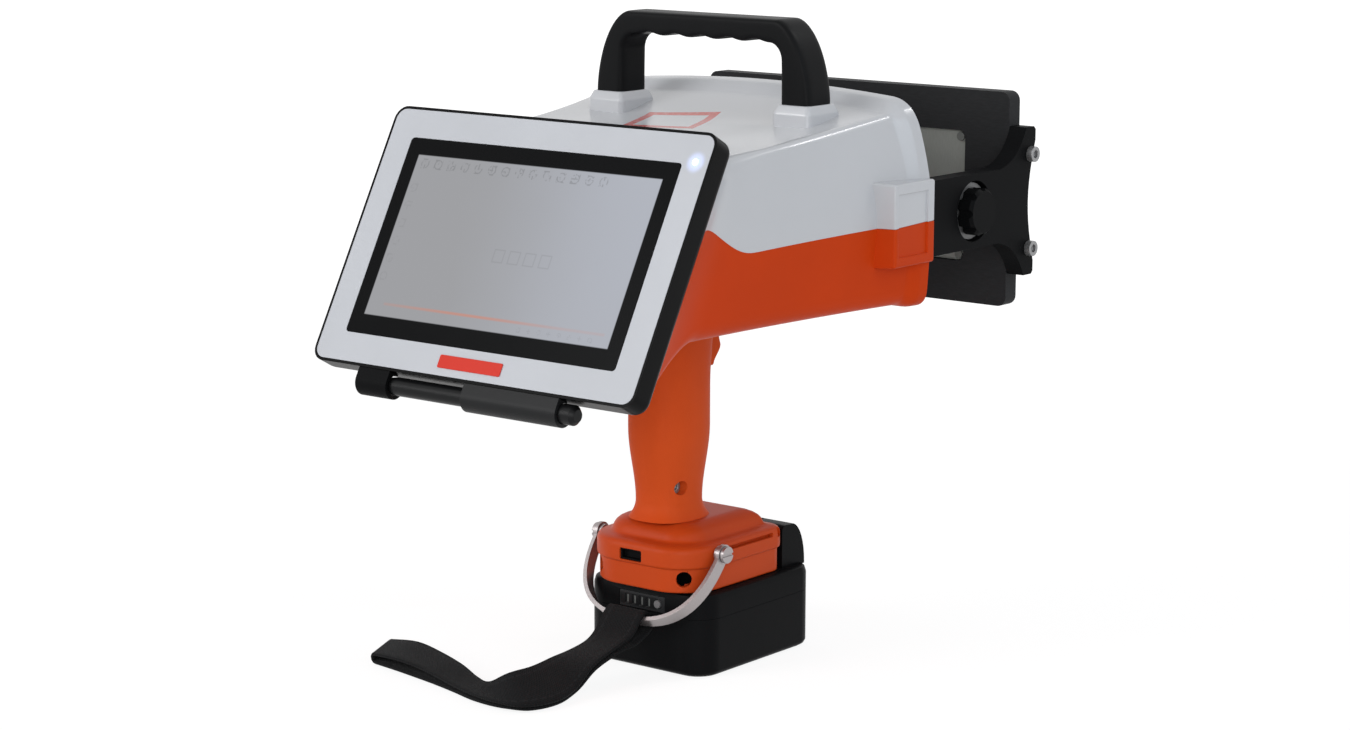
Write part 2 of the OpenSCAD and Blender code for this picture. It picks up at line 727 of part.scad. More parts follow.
// Place along the machine, height and depth of the head of each grip screw
grip_screw_at = [[grip_y - 8, grip_z + 17, 8.5], [grip_y - 10, grip_z + 62, 12.5]];
grip_screw_d = 3;
grip_head_d = 7;
trigger_w = 16;
trigger_z = [body_z - 36, body_z - 4];
trigger_back_y = grip_y + 12;
trigger_front_y = grip_y + grip_d / 2 + 11;
switch_w = 12;
switch_y = [trigger_back_y - trigger_travel - run - 14, trigger_back_y - trigger_travel - run];
switch_z = [body_z - 28, body_z - 12];
module grip_half(head) {
    color(orange_c) difference() {
        union() {
            loft([for (h = grip_h) back(grip_ring(h))]);
            for (p = grip_screw_at) x_rod(grip_head_d + 2, 0, p.z, p.x, p.y);
            box([switch_w / 2, grip_w / 2 - 1], [switch_y[0] + 3, switch_y[0] + 6], switch_z);
        }
        for (p = grip_screw_at) x_rod(grip_screw_d + fit, -1, p.z - 2, p.x, p.y);
        x_rod(grip_screw_d + fit, 0, grip_w, head.x, head.y);
        x_rod(grip_head_d + 2 * fit, head.z, grip_w, head.x, head.y);
        box([-trigger_w / 2 - run, trigger_w / 2 + run],
            [trigger_back_y - trigger_travel - run, grip_y + grip_d],
            [trigger_z[0] - run, trigger_z[1] + run]);
    }
}
module grip_right() { grip_half(grip_screw_at[0]); }
module grip_left() { mirror([1, 0, 0]) grip_half(grip_screw_at[1]); }

module grip_screw(p) {
    x_rod(grip_screw_d, 3 - p.z, p.z + eps, p.x, p.y);
    difference() {
        x_rod(grip_head_d, p.z, p.z + 2.4, p.x, p.y);
        translate([p.z + 1, p.x, p.y]) rotate([0, 90, 0]) cylinder(d = 2.9, h = 2, $fn = 6);
    }
}
module grip_screws() {
    color(steel_c) {
        grip_screw(grip_screw_at[0]);
        mirror([1, 0, 0]) grip_screw(grip_screw_at[1]);
    }
}

module trigger_switch() {
    color(black_c) difference() {
        union() {
            box([-switch_w / 2, switch_w / 2], switch_y, switch_z);
            box([-2, 2], [switch_y[1] - eps, trigger_back_y - run], [switch_z[1] - 8, switch_z[1] - 4]);
        }
        x_rod(2.5, -switch_w, switch_w, switch_y[0] + 7, switch_z[0] + 4);
    }
}

trigger_recess = 6;
trigger_nose_h = 10;
trigger_dip = 2.5;
module trigger_button() {
    mid = (trigger_z[0] + trigger_z[1]) / 2;
    nose_z = trigger_z[0] + trigger_nose_h;
    color(orange_c) difference() {
        translate([-trigger_w / 2, 0, 0]) rotate([90, 0, 90]) linear_extrude(trigger_w) polygon(concat(
            [[trigger_back_y, trigger_z[1]], [trigger_back_y, trigger_z[0]]],
            [for (i = [0:5]) let (k = i / 5) [trigger_front_y - trigger_recess * (1 - ease(k)),
                mix(trigger_z[0], nose_z, k)]],
            [for (i = [1:8]) let (k = i / 8) [trigger_front_y - trigger_dip * sin(180 * k),
                mix(nose_z, trigger_z[1], k)]]));
        box([-3, 3], [trigger_back_y - 1, trigger_back_y + trigger_travel + run], [mid - 2, mid + 9]);
    }
}

// Foot: stepped orange cap that carries the battery rails
foot_r_rear = 24;
foot_r_front = 9;
foot_rows = [[0, 1.5], [12, 1.5], [12.8, 0], [20.4, 0], [22.4, 0.8], [23.4, 2.6], [24, 6.5], [25, 7.6],
    [27.4, 8.4], [30, 10.5], [foot_h, 16.5]];
function foot_row(up, in) = lift(round_box(foot_w - 2 * in, foot_rear_y + in, foot_front_y - in,
    max(4, foot_r_rear - in), max(3, foot_r_front - in)), foot_z + up);
rail_neck_w = 48;
rail_head_w = 56;
rail_lip_h = 3.6;
rail_head_h = 8;
foot_cave_rear = foot_rear_y + 8;
port_w = 14;
port_h = 6;
port_d = 5;
port_z = foot_z + 16.5;
port_x = -2;
bail_y = -32;
bail_z = foot_z + 19;
bail_pin_d = 4;
bail_pin_l = 9;
foot_hole_d = 8;
foot_groove_d = 1.6;
foot_groove_z = [foot_z + 19.1, foot_z + 20.8];
foot_slot_y = [foot_front_y - 8, foot_front_y - 4.5];
foot_slot_z = [foot_z + 18, foot_z + 24.6];
foot_slot_d = 2.5;
module battery_foot() {
    color(orange_c) difference() {
        loft([for (r = foot_rows) foot_row(r[0], r[1])]);
        box([-rail_neck_w / 2 - slide_gap, rail_neck_w / 2 + slide_gap], [foot_cave_rear, foot_front_y + 1],
            [foot_z - 1, foot_z + rail_lip_h + 1]);
        box([-rail_head_w / 2 - slide_gap, rail_head_w / 2 + slide_gap], [foot_cave_rear, foot_front_y + 1],
            [foot_z + rail_lip_h, foot_z + rail_lip_h + rail_head_h + 2 * slide_gap]);
        box([-10, 10], [grip_y - 10, grip_y + 10], [foot_z + rail_lip_h + 1, grip_z + 1]);
        box([port_x - port_w / 2 - fit, port_x + port_w / 2 + fit], [foot_rear_y - 1, foot_rear_y + port_d],
            [port_z - port_h / 2 - fit, port_z + port_h / 2 + fit]);
        both_sides() {
            x_rod(bail_pin_d + fit, foot_w / 2 - bail_pin_l - 1, foot_w, bail_y, bail_z);
            box([foot_w / 2 - foot_groove_d, foot_w], [bail_y + 7, foot_front_y - 12], foot_groove_z);
            box([foot_w / 2 - foot_slot_d, foot_w], foot_slot_y, foot_slot_z);
            translate([foot_w / 2 - foot_r_rear, foot_rear_y + foot_r_rear, foot_z + 7]) rotate(-50)
                x_rod(foot_hole_d, foot_r_rear - 6, foot_r_rear + 4, 0, 0);
        }
    }
}

module service_port() {
    x = [port_x - port_w / 2, port_x + port_w / 2];
    z = [port_z - port_h / 2, port_z + port_h / 2];
    color(black_c) difference() {
        box(x, [foot_rear_y + 0.8, foot_rear_y + port_d], z);
        box([x[0] + 1, x[1] - 1], [foot_rear_y, foot_rear_y + port_d - 1.5], [z[0] + 1, z[1] - 1]);
    }
}

blade_x = 12;
blade_t = 0.8;
blade_l = 12;
blade_h = 6;
block_d = 5;
rail_head_z = foot_z + rail_lip_h + slide_gap;
blade_z = rail_head_z + 1;
module terminal_block() {
    color(black_c) difference() {
        box([-20, 20], [foot_cave_rear, foot_cave_rear + block_d],
            [foot_z + rail_lip_h, foot_z + rail_lip_h + rail_head_h + 2 * slide_gap]);
        for (x = [-blade_x, blade_x])
            box([x - blade_t / 2, x + blade_t / 2], [foot_cave_rear + 1, foot_cave_rear + block_d + 1],
                [blade_z, blade_z + blade_h]);
    }
}
module terminal_blades() {
    color([0.8, 0.6, 0.3]) for (x = [-blade_x, blade_x])
        box([x - blade_t / 2, x + blade_t / 2], [foot_cave_rear + 1, foot_cave_rear + block_d + blade_l],
            [blade_z, blade_z + blade_h]);
}

// Bail: bent steel strip on two shoulder screws
bail_side_gap = 2;
bail_half = foot_w / 2 + bail_side_gap + bail_t / 2;
bail_eye_d = 10;
bail_power = 2.6;
function bail_x(s, o) = (bail_half + o) * pow(abs(cos(s)), 2 / bail_power) * sign(cos(s));
function bail_d(s, o) = -(bail_reach + o) * pow(abs(sin(s)), 2 / bail_power);
bail_n = 40;
function bail_line(o) = [for (i = [0:bail_n]) let (s = 180 * i / bail_n) [bail_x(s, o), bail_d(s, o)]];
module bail() {
    outer = bail_line(bail_t / 2);
    inner = back(bail_line(-bail_t / 2));
    color(steel_c) difference() {
        union() {
            translate([0, bail_y, bail_z]) rotate([-bail_lean, 0, 0]) rotate([90, 0, 0])
                linear_extrude(bail_w, center = true) polygon(concat(outer, inner));
            both_sides() x_rod(bail_eye_d, bail_half - bail_t / 2, bail_half + bail_t / 2, bail_y, bail_z);
        }
        both_sides() x_rod(bail_pin_d + run, bail_half - bail_t, bail_half + bail_t, bail_y, bail_z);
    }
}
bail_head_x = bail_half + bail_t / 2 + fit;
module bail_screws() {
    color(steel_c) both_sides() {
        x_rod(bail_pin_d, foot_w / 2 - bail_pin_l, bail_head_x + eps, bail_y, bail_z);
        x_rod(bail_eye_d - 2, foot_w / 2, bail_half - bail_t / 2 - fit, bail_y, bail_z);
        difference() {
            x_rod(bail_eye_d - 1.5, bail_head_x, bail_head_x + 2, bail_y, bail_z);
            box([bail_head_x + 1.2, bail_head_x + 3], [bail_y - bail_eye_d, bail_y + bail_eye_d],
                [bail_z - 0.6, bail_z + 0.6]);
        }
    }
}

// Hand strap: a flat band looped round the bail, twisted once and laid on the table
strap_w = 24;
strap_t = 1.8;
bail_mid = [0, bail_y - bail_reach * sin(bail_lean), bail_z - bail_reach * cos(bail_lean)];
strap_route = [
    bail_mid + [0, -1.5, -1.4], bail_mid + [0, -9.5, -6.9], [0, -78, 18], [-1, -94, 14],
    [-1, -109, 9.5], [1, -125, 8.5], [-3, -139, 8], [-15, -142, 5], [-31, -138, 4],
    [-49, -132, 5], [-70, -126, 5.5], [-91, -122, 6], [-112, -119, 4.5]
];
strap_across = [
    [1, 0, 0], [1, 0, 0.03], [0.98, -0.1, 0.1], [0.95, -0.25, -0.05],
    [0.9, -0.1, -0.4], [0.85, 0, -0.52], [0.8, -0.36, -0.45], [0.77, -0.6, -0.15], [0.61, -0.79, -0.08],
    [0.5, -0.84, -0.16], [0.4, -0.9, -0.12], [0.33, -0.92, -0.12], [0.35, -0.92, -0.05]
];
strap_loop_l = bail_w / 2 + 1;
strap_loop_bulge = 1.9;
strap_apart = [bail_w / 2 + strap_t / 2 + 0.8, 3, 1.6, 1.3, 1.3, 1.3, 1.3, 1.3, 1.3, 1.6, 2.6, 3, 2.2];
function unit(v) = v / norm(v);
function strap_along(i) = unit(strap_route[min(i + 1, len(strap_route) - 1)] - strap_route[max(i - 1, 0)]);
function strap_square(i) = unit(cross(unit(strap_across[i]), strap_along(i)));
function strap_point(i, side, push) =
    strap_route[i] + side * strap_apart[i] * strap_square(i) + push * strap_along(i);
function strap_ring(p, across, out) = [
    for (k = [[-1, -1], [1, -1], [1, 1], [-1, 1]])
        p + k[0] * strap_w / 2 * across + k[1] * strap_t / 2 * out
];
strap_last = len(strap_route) - 1;
strap_rings = concat(
    [for (i = [0:strap_last]) strap_ring(strap_point(i, 1, 0), unit(strap_across[i]), strap_square(i))],
    [strap_ring(strap_point(strap_last, 0, strap_apart[strap_last]), unit(strap_across[strap_last]),
        strap_along(strap_last))],
    [
        for (i = [strap_last:-1:0])
            strap_ring(strap_point(i, -1, 0), unit(strap_across[i]), -strap_square(i))
    ],
    [strap_ring(strap_point(0, -1, -strap_loop_l), strap_across[0], -strap_square(0)),
        strap_ring(strap_point(0, 0, -strap_loop_l - strap_loop_bulge), strap_across[0], -strap_along(0)),
        strap_ring(strap_point(0, 1, -strap_loop_l), strap_across[0], strap_square(0))]
);
module hand_strap() {
    color(black_c) polyhedron(
        points = [for (r = strap_rings) each r], faces = ring_faces(len(strap_rings), 4, true));
}

// Battery pack
pack_r_rear = 14;
pack_r_front = 11;
lid_z = 30;
pack_wall = 2.5;
function pack_row(z, in) = lift(round_box(pack_w - 2 * in, pack_rear_y + in, pack_front_y - in,
    pack_r_rear - in, pack_r_front - in), z);
cave_x = pack_w / 2 - pack_wall - 4;
cave_y = [pack_rear_y + pack_wall + 4.5, pack_front_y - pack_wall - 2.5];
module battery_case() {
    color(black_c) difference() {
        loft([pack_row(0, 3), pack_row(1.2, 1), pack_row(3, 0), pack_row(lid_z, 0)]);
        box([-cave_x, cave_x], cave_y, [pack_wall, lid_z + 1]);
    }
}

hump_x = 33;
hump_h = 22;
hump_y = foot_front_y + slide_gap + 0.2;
latch_w = 28;
latch_y = [hump_y + 3.5, hump_y + 14.5];
latch_travel = 4;
latch_floor_z = pack_h + 11;
gauge_w = 29;
gauge_h = 8;
gauge_t = 1.2;
gauge_z = 35;
gauge_button_x = 10;
gauge_button_d = 4;
gauge_bars = 4;
gauge_bar_x = -11;
gauge_bar_w = 2;
gauge_bar_step = 4.4;
gauge_bar_d = 0.5;
tongue_rear = foot_cave_rear + block_d + slide_gap;
module battery_lid() {
    color(black_c) difference() {
        union() {
            loft([pack_row(lid_z, 0), pack_row(pack_h - 4, 0), pack_row(pack_h - 1.2, 0.9),
                pack_row(pack_h, 3)]);
            box([-rail_neck_w / 2, rail_neck_w / 2], [tongue_rear, hump_y + 1],
                [pack_h - 1, rail_head_z + eps]);
            box([-rail_head_w / 2, rail_head_w / 2], [tongue_rear, foot_front_y - 1],
                [rail_head_z, rail_head_z + rail_head_h - slide_gap]);
            side_plate([-hump_x, hump_x], concat([[hump_y, pack_h - 1]],
                arc(hump_y + 3, pack_h + hump_h - 3, 3, 180, 90, 4),
                [for (a = [80:-10:0]) [hump_y + 8 + (pack_front_y - hump_y - 9) * cos(a),
                    pack_h + hump_h * sin(a)]],
                [[pack_front_y - 1, pack_h - 1]]));
        }
        box([-cave_x, cave_x], cave_y, [lid_z - 1, pack_h - pack_wall]);
        for (x = [-blade_x, blade_x])
            box([x - blade_t / 2 - run, x + blade_t / 2 + run],
                [tongue_rear - 1, tongue_rear + blade_l + 1],
                [blade_z - run, rail_head_z + rail_head_h + 1]);
        box([-latch_w / 2 - run, latch_w / 2 + run], [latch_y[0] - run, latch_y[1] + run],
            [latch_floor_z, pack_h + hump_h + 1]);
        box([-gauge_w / 2 - fit, gauge_w / 2 + fit], [pack_rear_y - 1, pack_rear_y + gauge_t],
            [gauge_z - gauge_h / 2 - fit, gauge_z + gauge_h / 2 + fit]);
        y_rod(gauge_button_d + 2 * run, pack_rear_y - 1, pack_rear_y + 4.5, gauge_button_x, gauge_z);
    }
}

cell_d = 18.4;
cell_l = 65;
cell_step = cell_d + fit;
module battery_cells() {
    y0 = (cave_y[0] + cave_y[1] - cell_l) / 2;
    low = pack_wall + cell_d / 2;
    color([0.2, 0.35, 0.6]) {
        for (i = [-1, 0, 1]) y_rod(cell_d, y0, y0 + cell_l, i * cell_step, low);
        for (i = [-0.5, 0.5]) y_rod(cell_d, y0, y0 + cell_l, i * cell_step, low + cell_step * sin(60));
    }
}

module gauge_panel() {
    color([0.2, 0.2, 0.22]) difference() {
        box([-gauge_w / 2, gauge_w / 2], [pack_rear_y, pack_rear_y + gauge_t],
            [gauge_z - gauge_h / 2, gauge_z + gauge_h / 2]);
        for (i = [0:gauge_bars - 1])
            box([gauge_bar_x + gauge_bar_step * i, gauge_bar_x + gauge_bar_w + gauge_bar_step * i],
                [pack_rear_y - 1, pack_rear_y + gauge_bar_d], [gauge_z - 2.5, gauge_z + 2.5]);
        y_rod(gauge_button_d + 2 * run, pack_rear_y - 1, pack_rear_y + 4, gauge_button_x, gauge_z);
    }
}

module gauge_button() {
    color([0.6, 0.6, 0.62])
        y_rod(gauge_button_d, pack_rear_y - 0.8, pack_rear_y + 3, gauge_button_x, gauge_z);
}

module latch_button() {
    z0 = latch_floor_z + latch_travel + run;
    top = pack_h + hump_h + 1;
    color([0.25, 0.25, 0.27]) difference() {
        side_plate([-latch_w / 2, latch_w / 2], [[latch_y[0], z0], [latch_y[1], z0], [latch_y[1], top - 5],
            [latch_y[1] - 4, top - 1.5], [latch_y[0] + 2, top], [latch_y[0], top - 1]]);
        for (i = [0:2])
            x_rod(1.2, -latch_w / 2 + 3, latch_w / 2 - 3, latch_y[0] + 2.5 + 2 * i, top + 0.2 - 0.5 * i);
    }
}

// Chassis: cross frame with two arm rails and two cheeks for the sideways guides
rail_reach = 32;
rail_end_y = 100;
rail_y = [body_front_y - rail_reach, rail_end_y];
frame_half_h = 35;
rail_h = 24;
x_rod_y = -7;
x_rod_up = 20;
screw_d = 6;
clamp_d = 6;
motor_x = 28;
motor_l = 22;
motor_gap = 1.75;
motor_out = side_x(body_t(x_rod_y - motor_x / 2), axis_z - motor_x / 2 + 2) - wall - motor_gap;
cheek_t = 6;
cheek_x = [motor_out - motor_l - cheek_t, motor_out - motor_l];
cheek_y = [-27, frame_y[0]];
cheek_h = 30;
module chassis() {
    color([0.55, 0.56, 0.58]) difference() {
        union() {
            box([-rail_in - eps, rail_in + eps], frame_y,
                [axis_z - frame_half_h, axis_z + frame_half_h]);
            both_sides() {
                box([rail_in, rail_in + rail_t], rail_y, [axis_z - rail_h / 2, axis_z + rail_h / 2]);
                box(cheek_x, [cheek_y[0], cheek_y[1] + eps], [body_z + wall, axis_z + cheek_h]);
            }
        }
        box([-head_window.x / 2, head_window.x / 2], [0, 100],
            [axis_z - head_window.y / 2, axis_z + head_window.y / 2]);
        both_sides() {
            for (z = [-x_rod_up, x_rod_up])
                x_rod(x_rod_d, cheek_x[0] - 1, cheek_x[1] + 1, x_rod_y, axis_z + z);
            x_rod(screw_d + 2 * run, cheek_x[0] - 1, cheek_x[1] + 1, x_rod_y, axis_z);
            box([rail_in - 1, rail_in + rail_t + 1],
                [knob_y - guard_travel - clamp_d / 2 - run, knob_y + clamp_d / 2 + run],
                [axis_z - clamp_d / 2 - run, axis_z + clamp_d / 2 + run]);
        }
        for (p = panel_screw_at)
            y_rod(panel_screw_d + fit, frame_y[0] - 1, frame_y[1] + 1, p.x, axis_z + p.y);
    }
}

module x_rods() {
    color(steel_c) for (z = [-x_rod_up, x_rod_up])
        x_rod(x_rod_d, -cheek_x[1], cheek_x[1], x_rod_y, axis_z + z);
}

module x_motor() {
    color(black_c) difference() {
        box([cheek_x[1], cheek_x[1] + motor_l], [x_rod_y - motor_x / 2, x_rod_y + motor_x / 2],
            [axis_z - motor_x / 2 + 2, axis_z + motor_x / 2 - 2]);
        x_rod(screw_d + 2 * run, cheek_x[1] - 1, cheek_x[1] + 11, x_rod_y, axis_z);
    }
}

module x_screw() {
    color(steel_c) x_rod(screw_d, -cheek_x[1] + 1, cheek_x[1] + 10, x_rod_y, axis_z);
}

// Sideways carriage with the two ears that hold the upright guides
carriage_w = 36;
carriage_y = [x_rod_y - 9, x_rod_y + 9];
carriage_h = 28;
ear_y = carriage_y[1] + 18;
ear_h = [24, 29];
z_rod_x = 12;
z_rod_y = carriage_y[1] + 9;
z_screw_d = 5;
nut_d = 14;
module x_carriage() {
    color([0.6, 0.61, 0.63]) difference() {
        union() {
            box([-carriage_w / 2, carriage_w / 2], carriage_y, [axis_z - carriage_h, axis_z + carriage_h]);
            for (s = [-1, 1])
                box([-carriage_w / 2, carriage_w / 2], [carriage_y[1] - eps, ear_y],
                    [axis_z + (s > 0 ? ear_h[0] : -ear_h[1]), axis_z + (s > 0 ? ear_h[1] : -ear_h[0])]);
        }
        for (z = [-x_rod_up, x_rod_up]) x_rod(x_rod_d + run, -carriage_w, carriage_w, x_rod_y, axis_z + z);
        x_rod(nut_d, -carriage_w, carriage_w, x_rod_y, axis_z);
        for (x = [-z_rod_x, z_rod_x])
            z_rod(z_rod_d, axis_z - ear_h[1] - 1, axis_z + ear_h[1] + 1, x, z_rod_y);
        z_rod(z_screw_d + 2 * run, axis_z - ear_h[1] - 1, axis_z + ear_h[1] + 1, 0, z_rod_y);
    }
}
module x_nut() {
    color([0.8, 0.65, 0.3]) difference() {
        x_rod(nut_d, -carriage_w / 2, carriage_w / 2, x_rod_y, axis_z);
        x_rod(screw_d + 2 * run, -carriage_w, carriage_w, x_rod_y, axis_z);
    }
}
module z_rods() {
    color(steel_c) for (x = [-z_rod_x, z_rod_x])
        z_rod(z_rod_d, axis_z - ear_h[1], axis_z + ear_h[1], x, z_rod_y);
}
z_motor_w = 16;
z_motor_l = 13;
module z_motor() {
    color(black_c) difference() {
        box([-z_motor_w / 2, z_motor_w / 2], [z_rod_y - z_motor_w / 2, z_rod_y + z_motor_w / 2],
            [axis_z + ear_h[1], axis_z + ear_h[1] + z_motor_l]);
        z_rod(z_screw_d + 2 * run, axis_z + ear_h[1] - 1, axis_z + ear_h[1] + 9, 0, z_rod_y);
    }
}
module z_screw() {
    color(steel_c) z_rod(z_screw_d, axis_z - ear_h[1], axis_z + ear_h[1] + 8, 0, z_rod_y);
}

// Upright carriage with the solenoid, nose and marking pin
z_block_h = 10;
z_block_y = [carriage_y[1] + 2.5, ear_y + 1];
solenoid_l = 42;
solenoid_boss_l = 2;
solenoid_y = [z_block_y[1], z_block_y[1] + solenoid_l];
nose_d = 14;
pin_d = 3;
pin_tail_y = solenoid_y[1] + 6;
module z_carriage() {
    color([0.62, 0.63, 0.65]) difference() {
        box([-carriage_w / 2 + 1, carriage_w / 2 - 1], z_block_y, [axis_z - z_block_h, axis_z + z_block_h]);
        for (x = [-z_rod_x, z_rod_x]) z_rod(z_rod_d + run, axis_z - 20, axis_z + 20, x, z_rod_y);
        z_rod(z_screw_d + 2 * run, axis_z - 20, axis_z + 20, 0, z_rod_y);
    }
}
module solenoid() {
    color([0.25, 0.26, 0.28]) union() {
        y_rod(solenoid_d, solenoid_y[0], solenoid_y[1], 0, axis_z);
        y_rod(solenoid_d - 8, solenoid_y[0] + 1, solenoid_y[1] + solenoid_boss_l, 0, axis_z);
    }
}
module stylus_nose() {
    y0 = solenoid_y[1] + solenoid_boss_l;
    r = nose_d / 2;
    bore = pin_d / 2 + run / 2;
    color(steel_c) translate([0, y0, axis_z]) rotate([-90, 0, 0]) rotate_extrude() polygon([
        [0, 0], [r + 4, 0], [r + 4, 3], [r, 5], [r, nose_end_y - y0 - 8], [pin_d, nose_end_y - y0],
        [bore, nose_end_y - y0], [bore, pin_tail_y - y0 - 1], [0, pin_tail_y - y0 - 1]]);
}
module marking_pin() {
    tip = nose_end_y + strike;
    color([0.3, 0.3, 0.32]) translate([0, 0, axis_z]) rotate([-90, 0, 0]) rotate_extrude() polygon([
        [0, pin_tail_y], [pin_d / 2, pin_tail_y], [pin_d / 2, tip - 2.5], [0.3, tip], [0, tip]]);
}

// Guard: plate, aperture sheet, two fishtail arms and their fasteners
window_ledge = 5;
window_r = 4.5;
ledge_t = 5;
sheet_t = 3;
aperture_w = 80;
aperture_h = 45;
arm_bolt_d = 4;
arm_bolt_l = 14;
arm_bolt_up = 24.5;
arm_bolt_head = 8;
sheet_screw_d = 3;
sheet_screw_head = 4.6;
sheet_screw_in = window_ledge / 2 + 0.9;
sheet_screw_at = [
    for (x = [-1, 1], z = [-1, 1])
        [x * (window_w / 2 - sheet_screw_in), z * (window_h / 2 - sheet_screw_in)]
];
module upright_plate(w, h, r, y0, y1) {
    translate([0, y1, axis_z]) rotate([90, 0, 0]) linear_extrude(y1 - y0)
        polygon(round_box(w, -h / 2, h / 2, r, r));
}
module front_plate() {
    color(black_c) difference() {
        upright_plate(plate_w, plate_h, 5, plate_y, plate_y + plate_t);
        upright_plate(window_w, window_h, window_r, plate_y - 1, plate_y + plate_t - ledge_t);
        upright_plate(window_w - 2 * window_ledge, window_h - 2 * window_ledge, window_r, plate_y,
            plate_y + plate_t + 1);
        both_sides() for (z = [-arm_bolt_up, arm_bolt_up])
            x_rod(arm_bolt_d + fit, arm_in - arm_bolt_l, arm_in + 1, plate_y + plate_t / 2, axis_z + z);
        for (p = sheet_screw_at)
            y_rod(sheet_screw_d + fit, plate_y, plate_y + plate_t - 1, p.x, axis_z + p.y);
    }
}
sheet_y = [plate_y + plate_t - ledge_t - sheet_t, plate_y + plate_t - ledge_t];
module aperture_sheet() {
    color([0.42, 0.43, 0.42]) difference() {
        upright_plate(window_w - 2 * run, window_h - 2 * run, window_r - run, sheet_y[0], sheet_y[1]);
        upright_plate(aperture_w, aperture_h, 3, sheet_y[0] - 1, sheet_y[1] + 1);
        for (p = sheet_screw_at)
            y_rod(sheet_screw_d + fit, sheet_y[0] - 1, sheet_y[1] + 1, p.x, axis_z + p.y);
    }
}
module sheet_screws() {
    color(steel_c) for (p = sheet_screw_at) {
        y_rod(sheet_screw_d, sheet_y[0] - eps, sheet_y[1] + ledge_t - 1.5, p.x, axis_z + p.y);
        y_rod(sheet_screw_head, sheet_y[0] - 1.5, sheet_y[0], p.x, axis_z + p.y);
    }
}

fish_h = 38.5;
fish_l = 34;
fish_dip = 6;
arm_end = plate_y + plate_t;
arm_top = concat(
    [[arm_rear_y, arm_h / 2 - 3], [arm_rear_y + 3, arm_h / 2]],
    [for (i = [0:8]) bezier([arm_end - fish_l, arm_h / 2], [arm_end - fish_l / 2, arm_h / 2 + 2],
        [arm_end - 9, fish_h], i / 8)],
    [[arm_end - 1.5, fish_h], [arm_end, fish_h - 1.5], [arm_end, fish_h - 7]],
    [for (i = [1:6]) [arm_end - fish_dip * sin(15 * i), (fish_h - 7) * (1 - i / 6)]]
);
arm_outline = concat(arm_top, [for (i = [len(arm_top) - 2:-1:0]) [arm_top[i].x, -arm_top[i].y]]);
knob_recess_d = 31;
knob_recess = 4;
washer_t = 1.5;
knob_out = 6;
nut_w = 12;
nut_t = 5;
module arm() {
    color(black_c) difference() {
        side_plate([arm_in, arm_out], [for (p = arm_outline) [p.x, p.y + axis_z]]);
        x_rod(knob_recess_d, arm_out - knob_recess, arm_out + 1, knob_y, axis_z);
        x_rod(clamp_d + 2 * run, arm_in - 1, arm_out + 1, knob_y, axis_z);
        for (z = [-arm_bolt_up, arm_bolt_up])
            x_rod(arm_bolt_d + fit, arm_in - 1, arm_out + 1, plate_y + plate_t / 2, axis_z + z);
    }
}
module arm_right() { arm(); }
module arm_left() { mirror([1, 0, 0]) arm(); }

module arm_bolts() {
    color(steel_c) both_sides() for (z = [-arm_bolt_up, arm_bolt_up]) difference() {
        union() {
            x_rod(arm_bolt_d, arm_in - arm_bolt_l + 1, arm_out + eps, plate_y + plate_t / 2, axis_z + z);
            x_rod(arm_bolt_head, arm_out, arm_out + 3.5, plate_y + plate_t / 2, axis_z + z);
        }
        translate([arm_out + 1.5, plate_y + plate_t / 2, axis_z + z]) rotate([0, 90, 0])
            cylinder(d = 4.6, h = 4, $fn = 6);
    }
}

module clamp_washers() {
    color(steel_c) both_sides() difference() {
        x_rod(knob_recess_d - 2, arm_out - knob_recess, arm_out - knob_recess + washer_t, knob_y, axis_z);
        x_rod(clamp_d + 2 * run, arm_in, arm_out + 1, knob_y, axis_z);
    }
}
module clamp_nuts() {
    color(steel_c) both_sides() difference() {
        box([rail_in - run - nut_t, rail_in - run], [knob_y - nut_w / 2, knob_y + nut_w / 2],
            [axis_z - nut_w / 2, axis_z + nut_w / 2]);
        x_rod(clamp_d + 2 * fit, rail_in - 20, rail_in + 1, knob_y, axis_z);
    }
}
knob_lobes = 8;
knob_lobe_d = 5;
module knob() {
    face = arm_out - knob_recess + washer_t + fit;
    color(black_c) difference() {
        union() {
            x_rod(knob_d, face, arm_out + knob_out - 1.5, knob_y, axis_z);
            translate([arm_out + knob_out - 1.5, knob_y, axis_z]) rotate([0, 90, 0])
                cylinder(d1 = knob_d, d2 = knob_d - 3, h = 1.5);
            x_rod(clamp_d, rail_in - run - nut_t - 1, face + 1, knob_y, axis_z);
        }
        for (i = [0:knob_lobes - 1]) let (a = 360 * i / knob_lobes)
            x_rod(knob_lobe_d, face - 1, arm_out + knob_out + 1, knob_y + (knob_d / 2 + 1) * cos(a),
                axis_z + (knob_d / 2 + 1) * sin(a));
    }
}
module knob_right() { knob(); }
module knob_left() { mirror([1, 0, 0]) knob(); }

// Main board on four posts of the lower housing, with its chip, coil and connector
board_parts = [[[-40, -12], [-84, -56], 6], [[4, 34], [-80, -60], 10], [[-50, 50], [-94, -88], 8]];
module main_board() {
    color(board_c) difference() {
        union() {
            box([-board_x, board_x], board_y, [board_z, board_z + board_t]);
            for (c = board_parts)
                box(c[0], c[1], [board_z + board_t - eps, board_z + board_t + c[2]]);
        }
        both_sides() for (p = board_post_at)
            z_rod(board_screw_d + 2 * fit, board_z - 1, board_z + board_t + 1, p.x, p.y);
    }
}

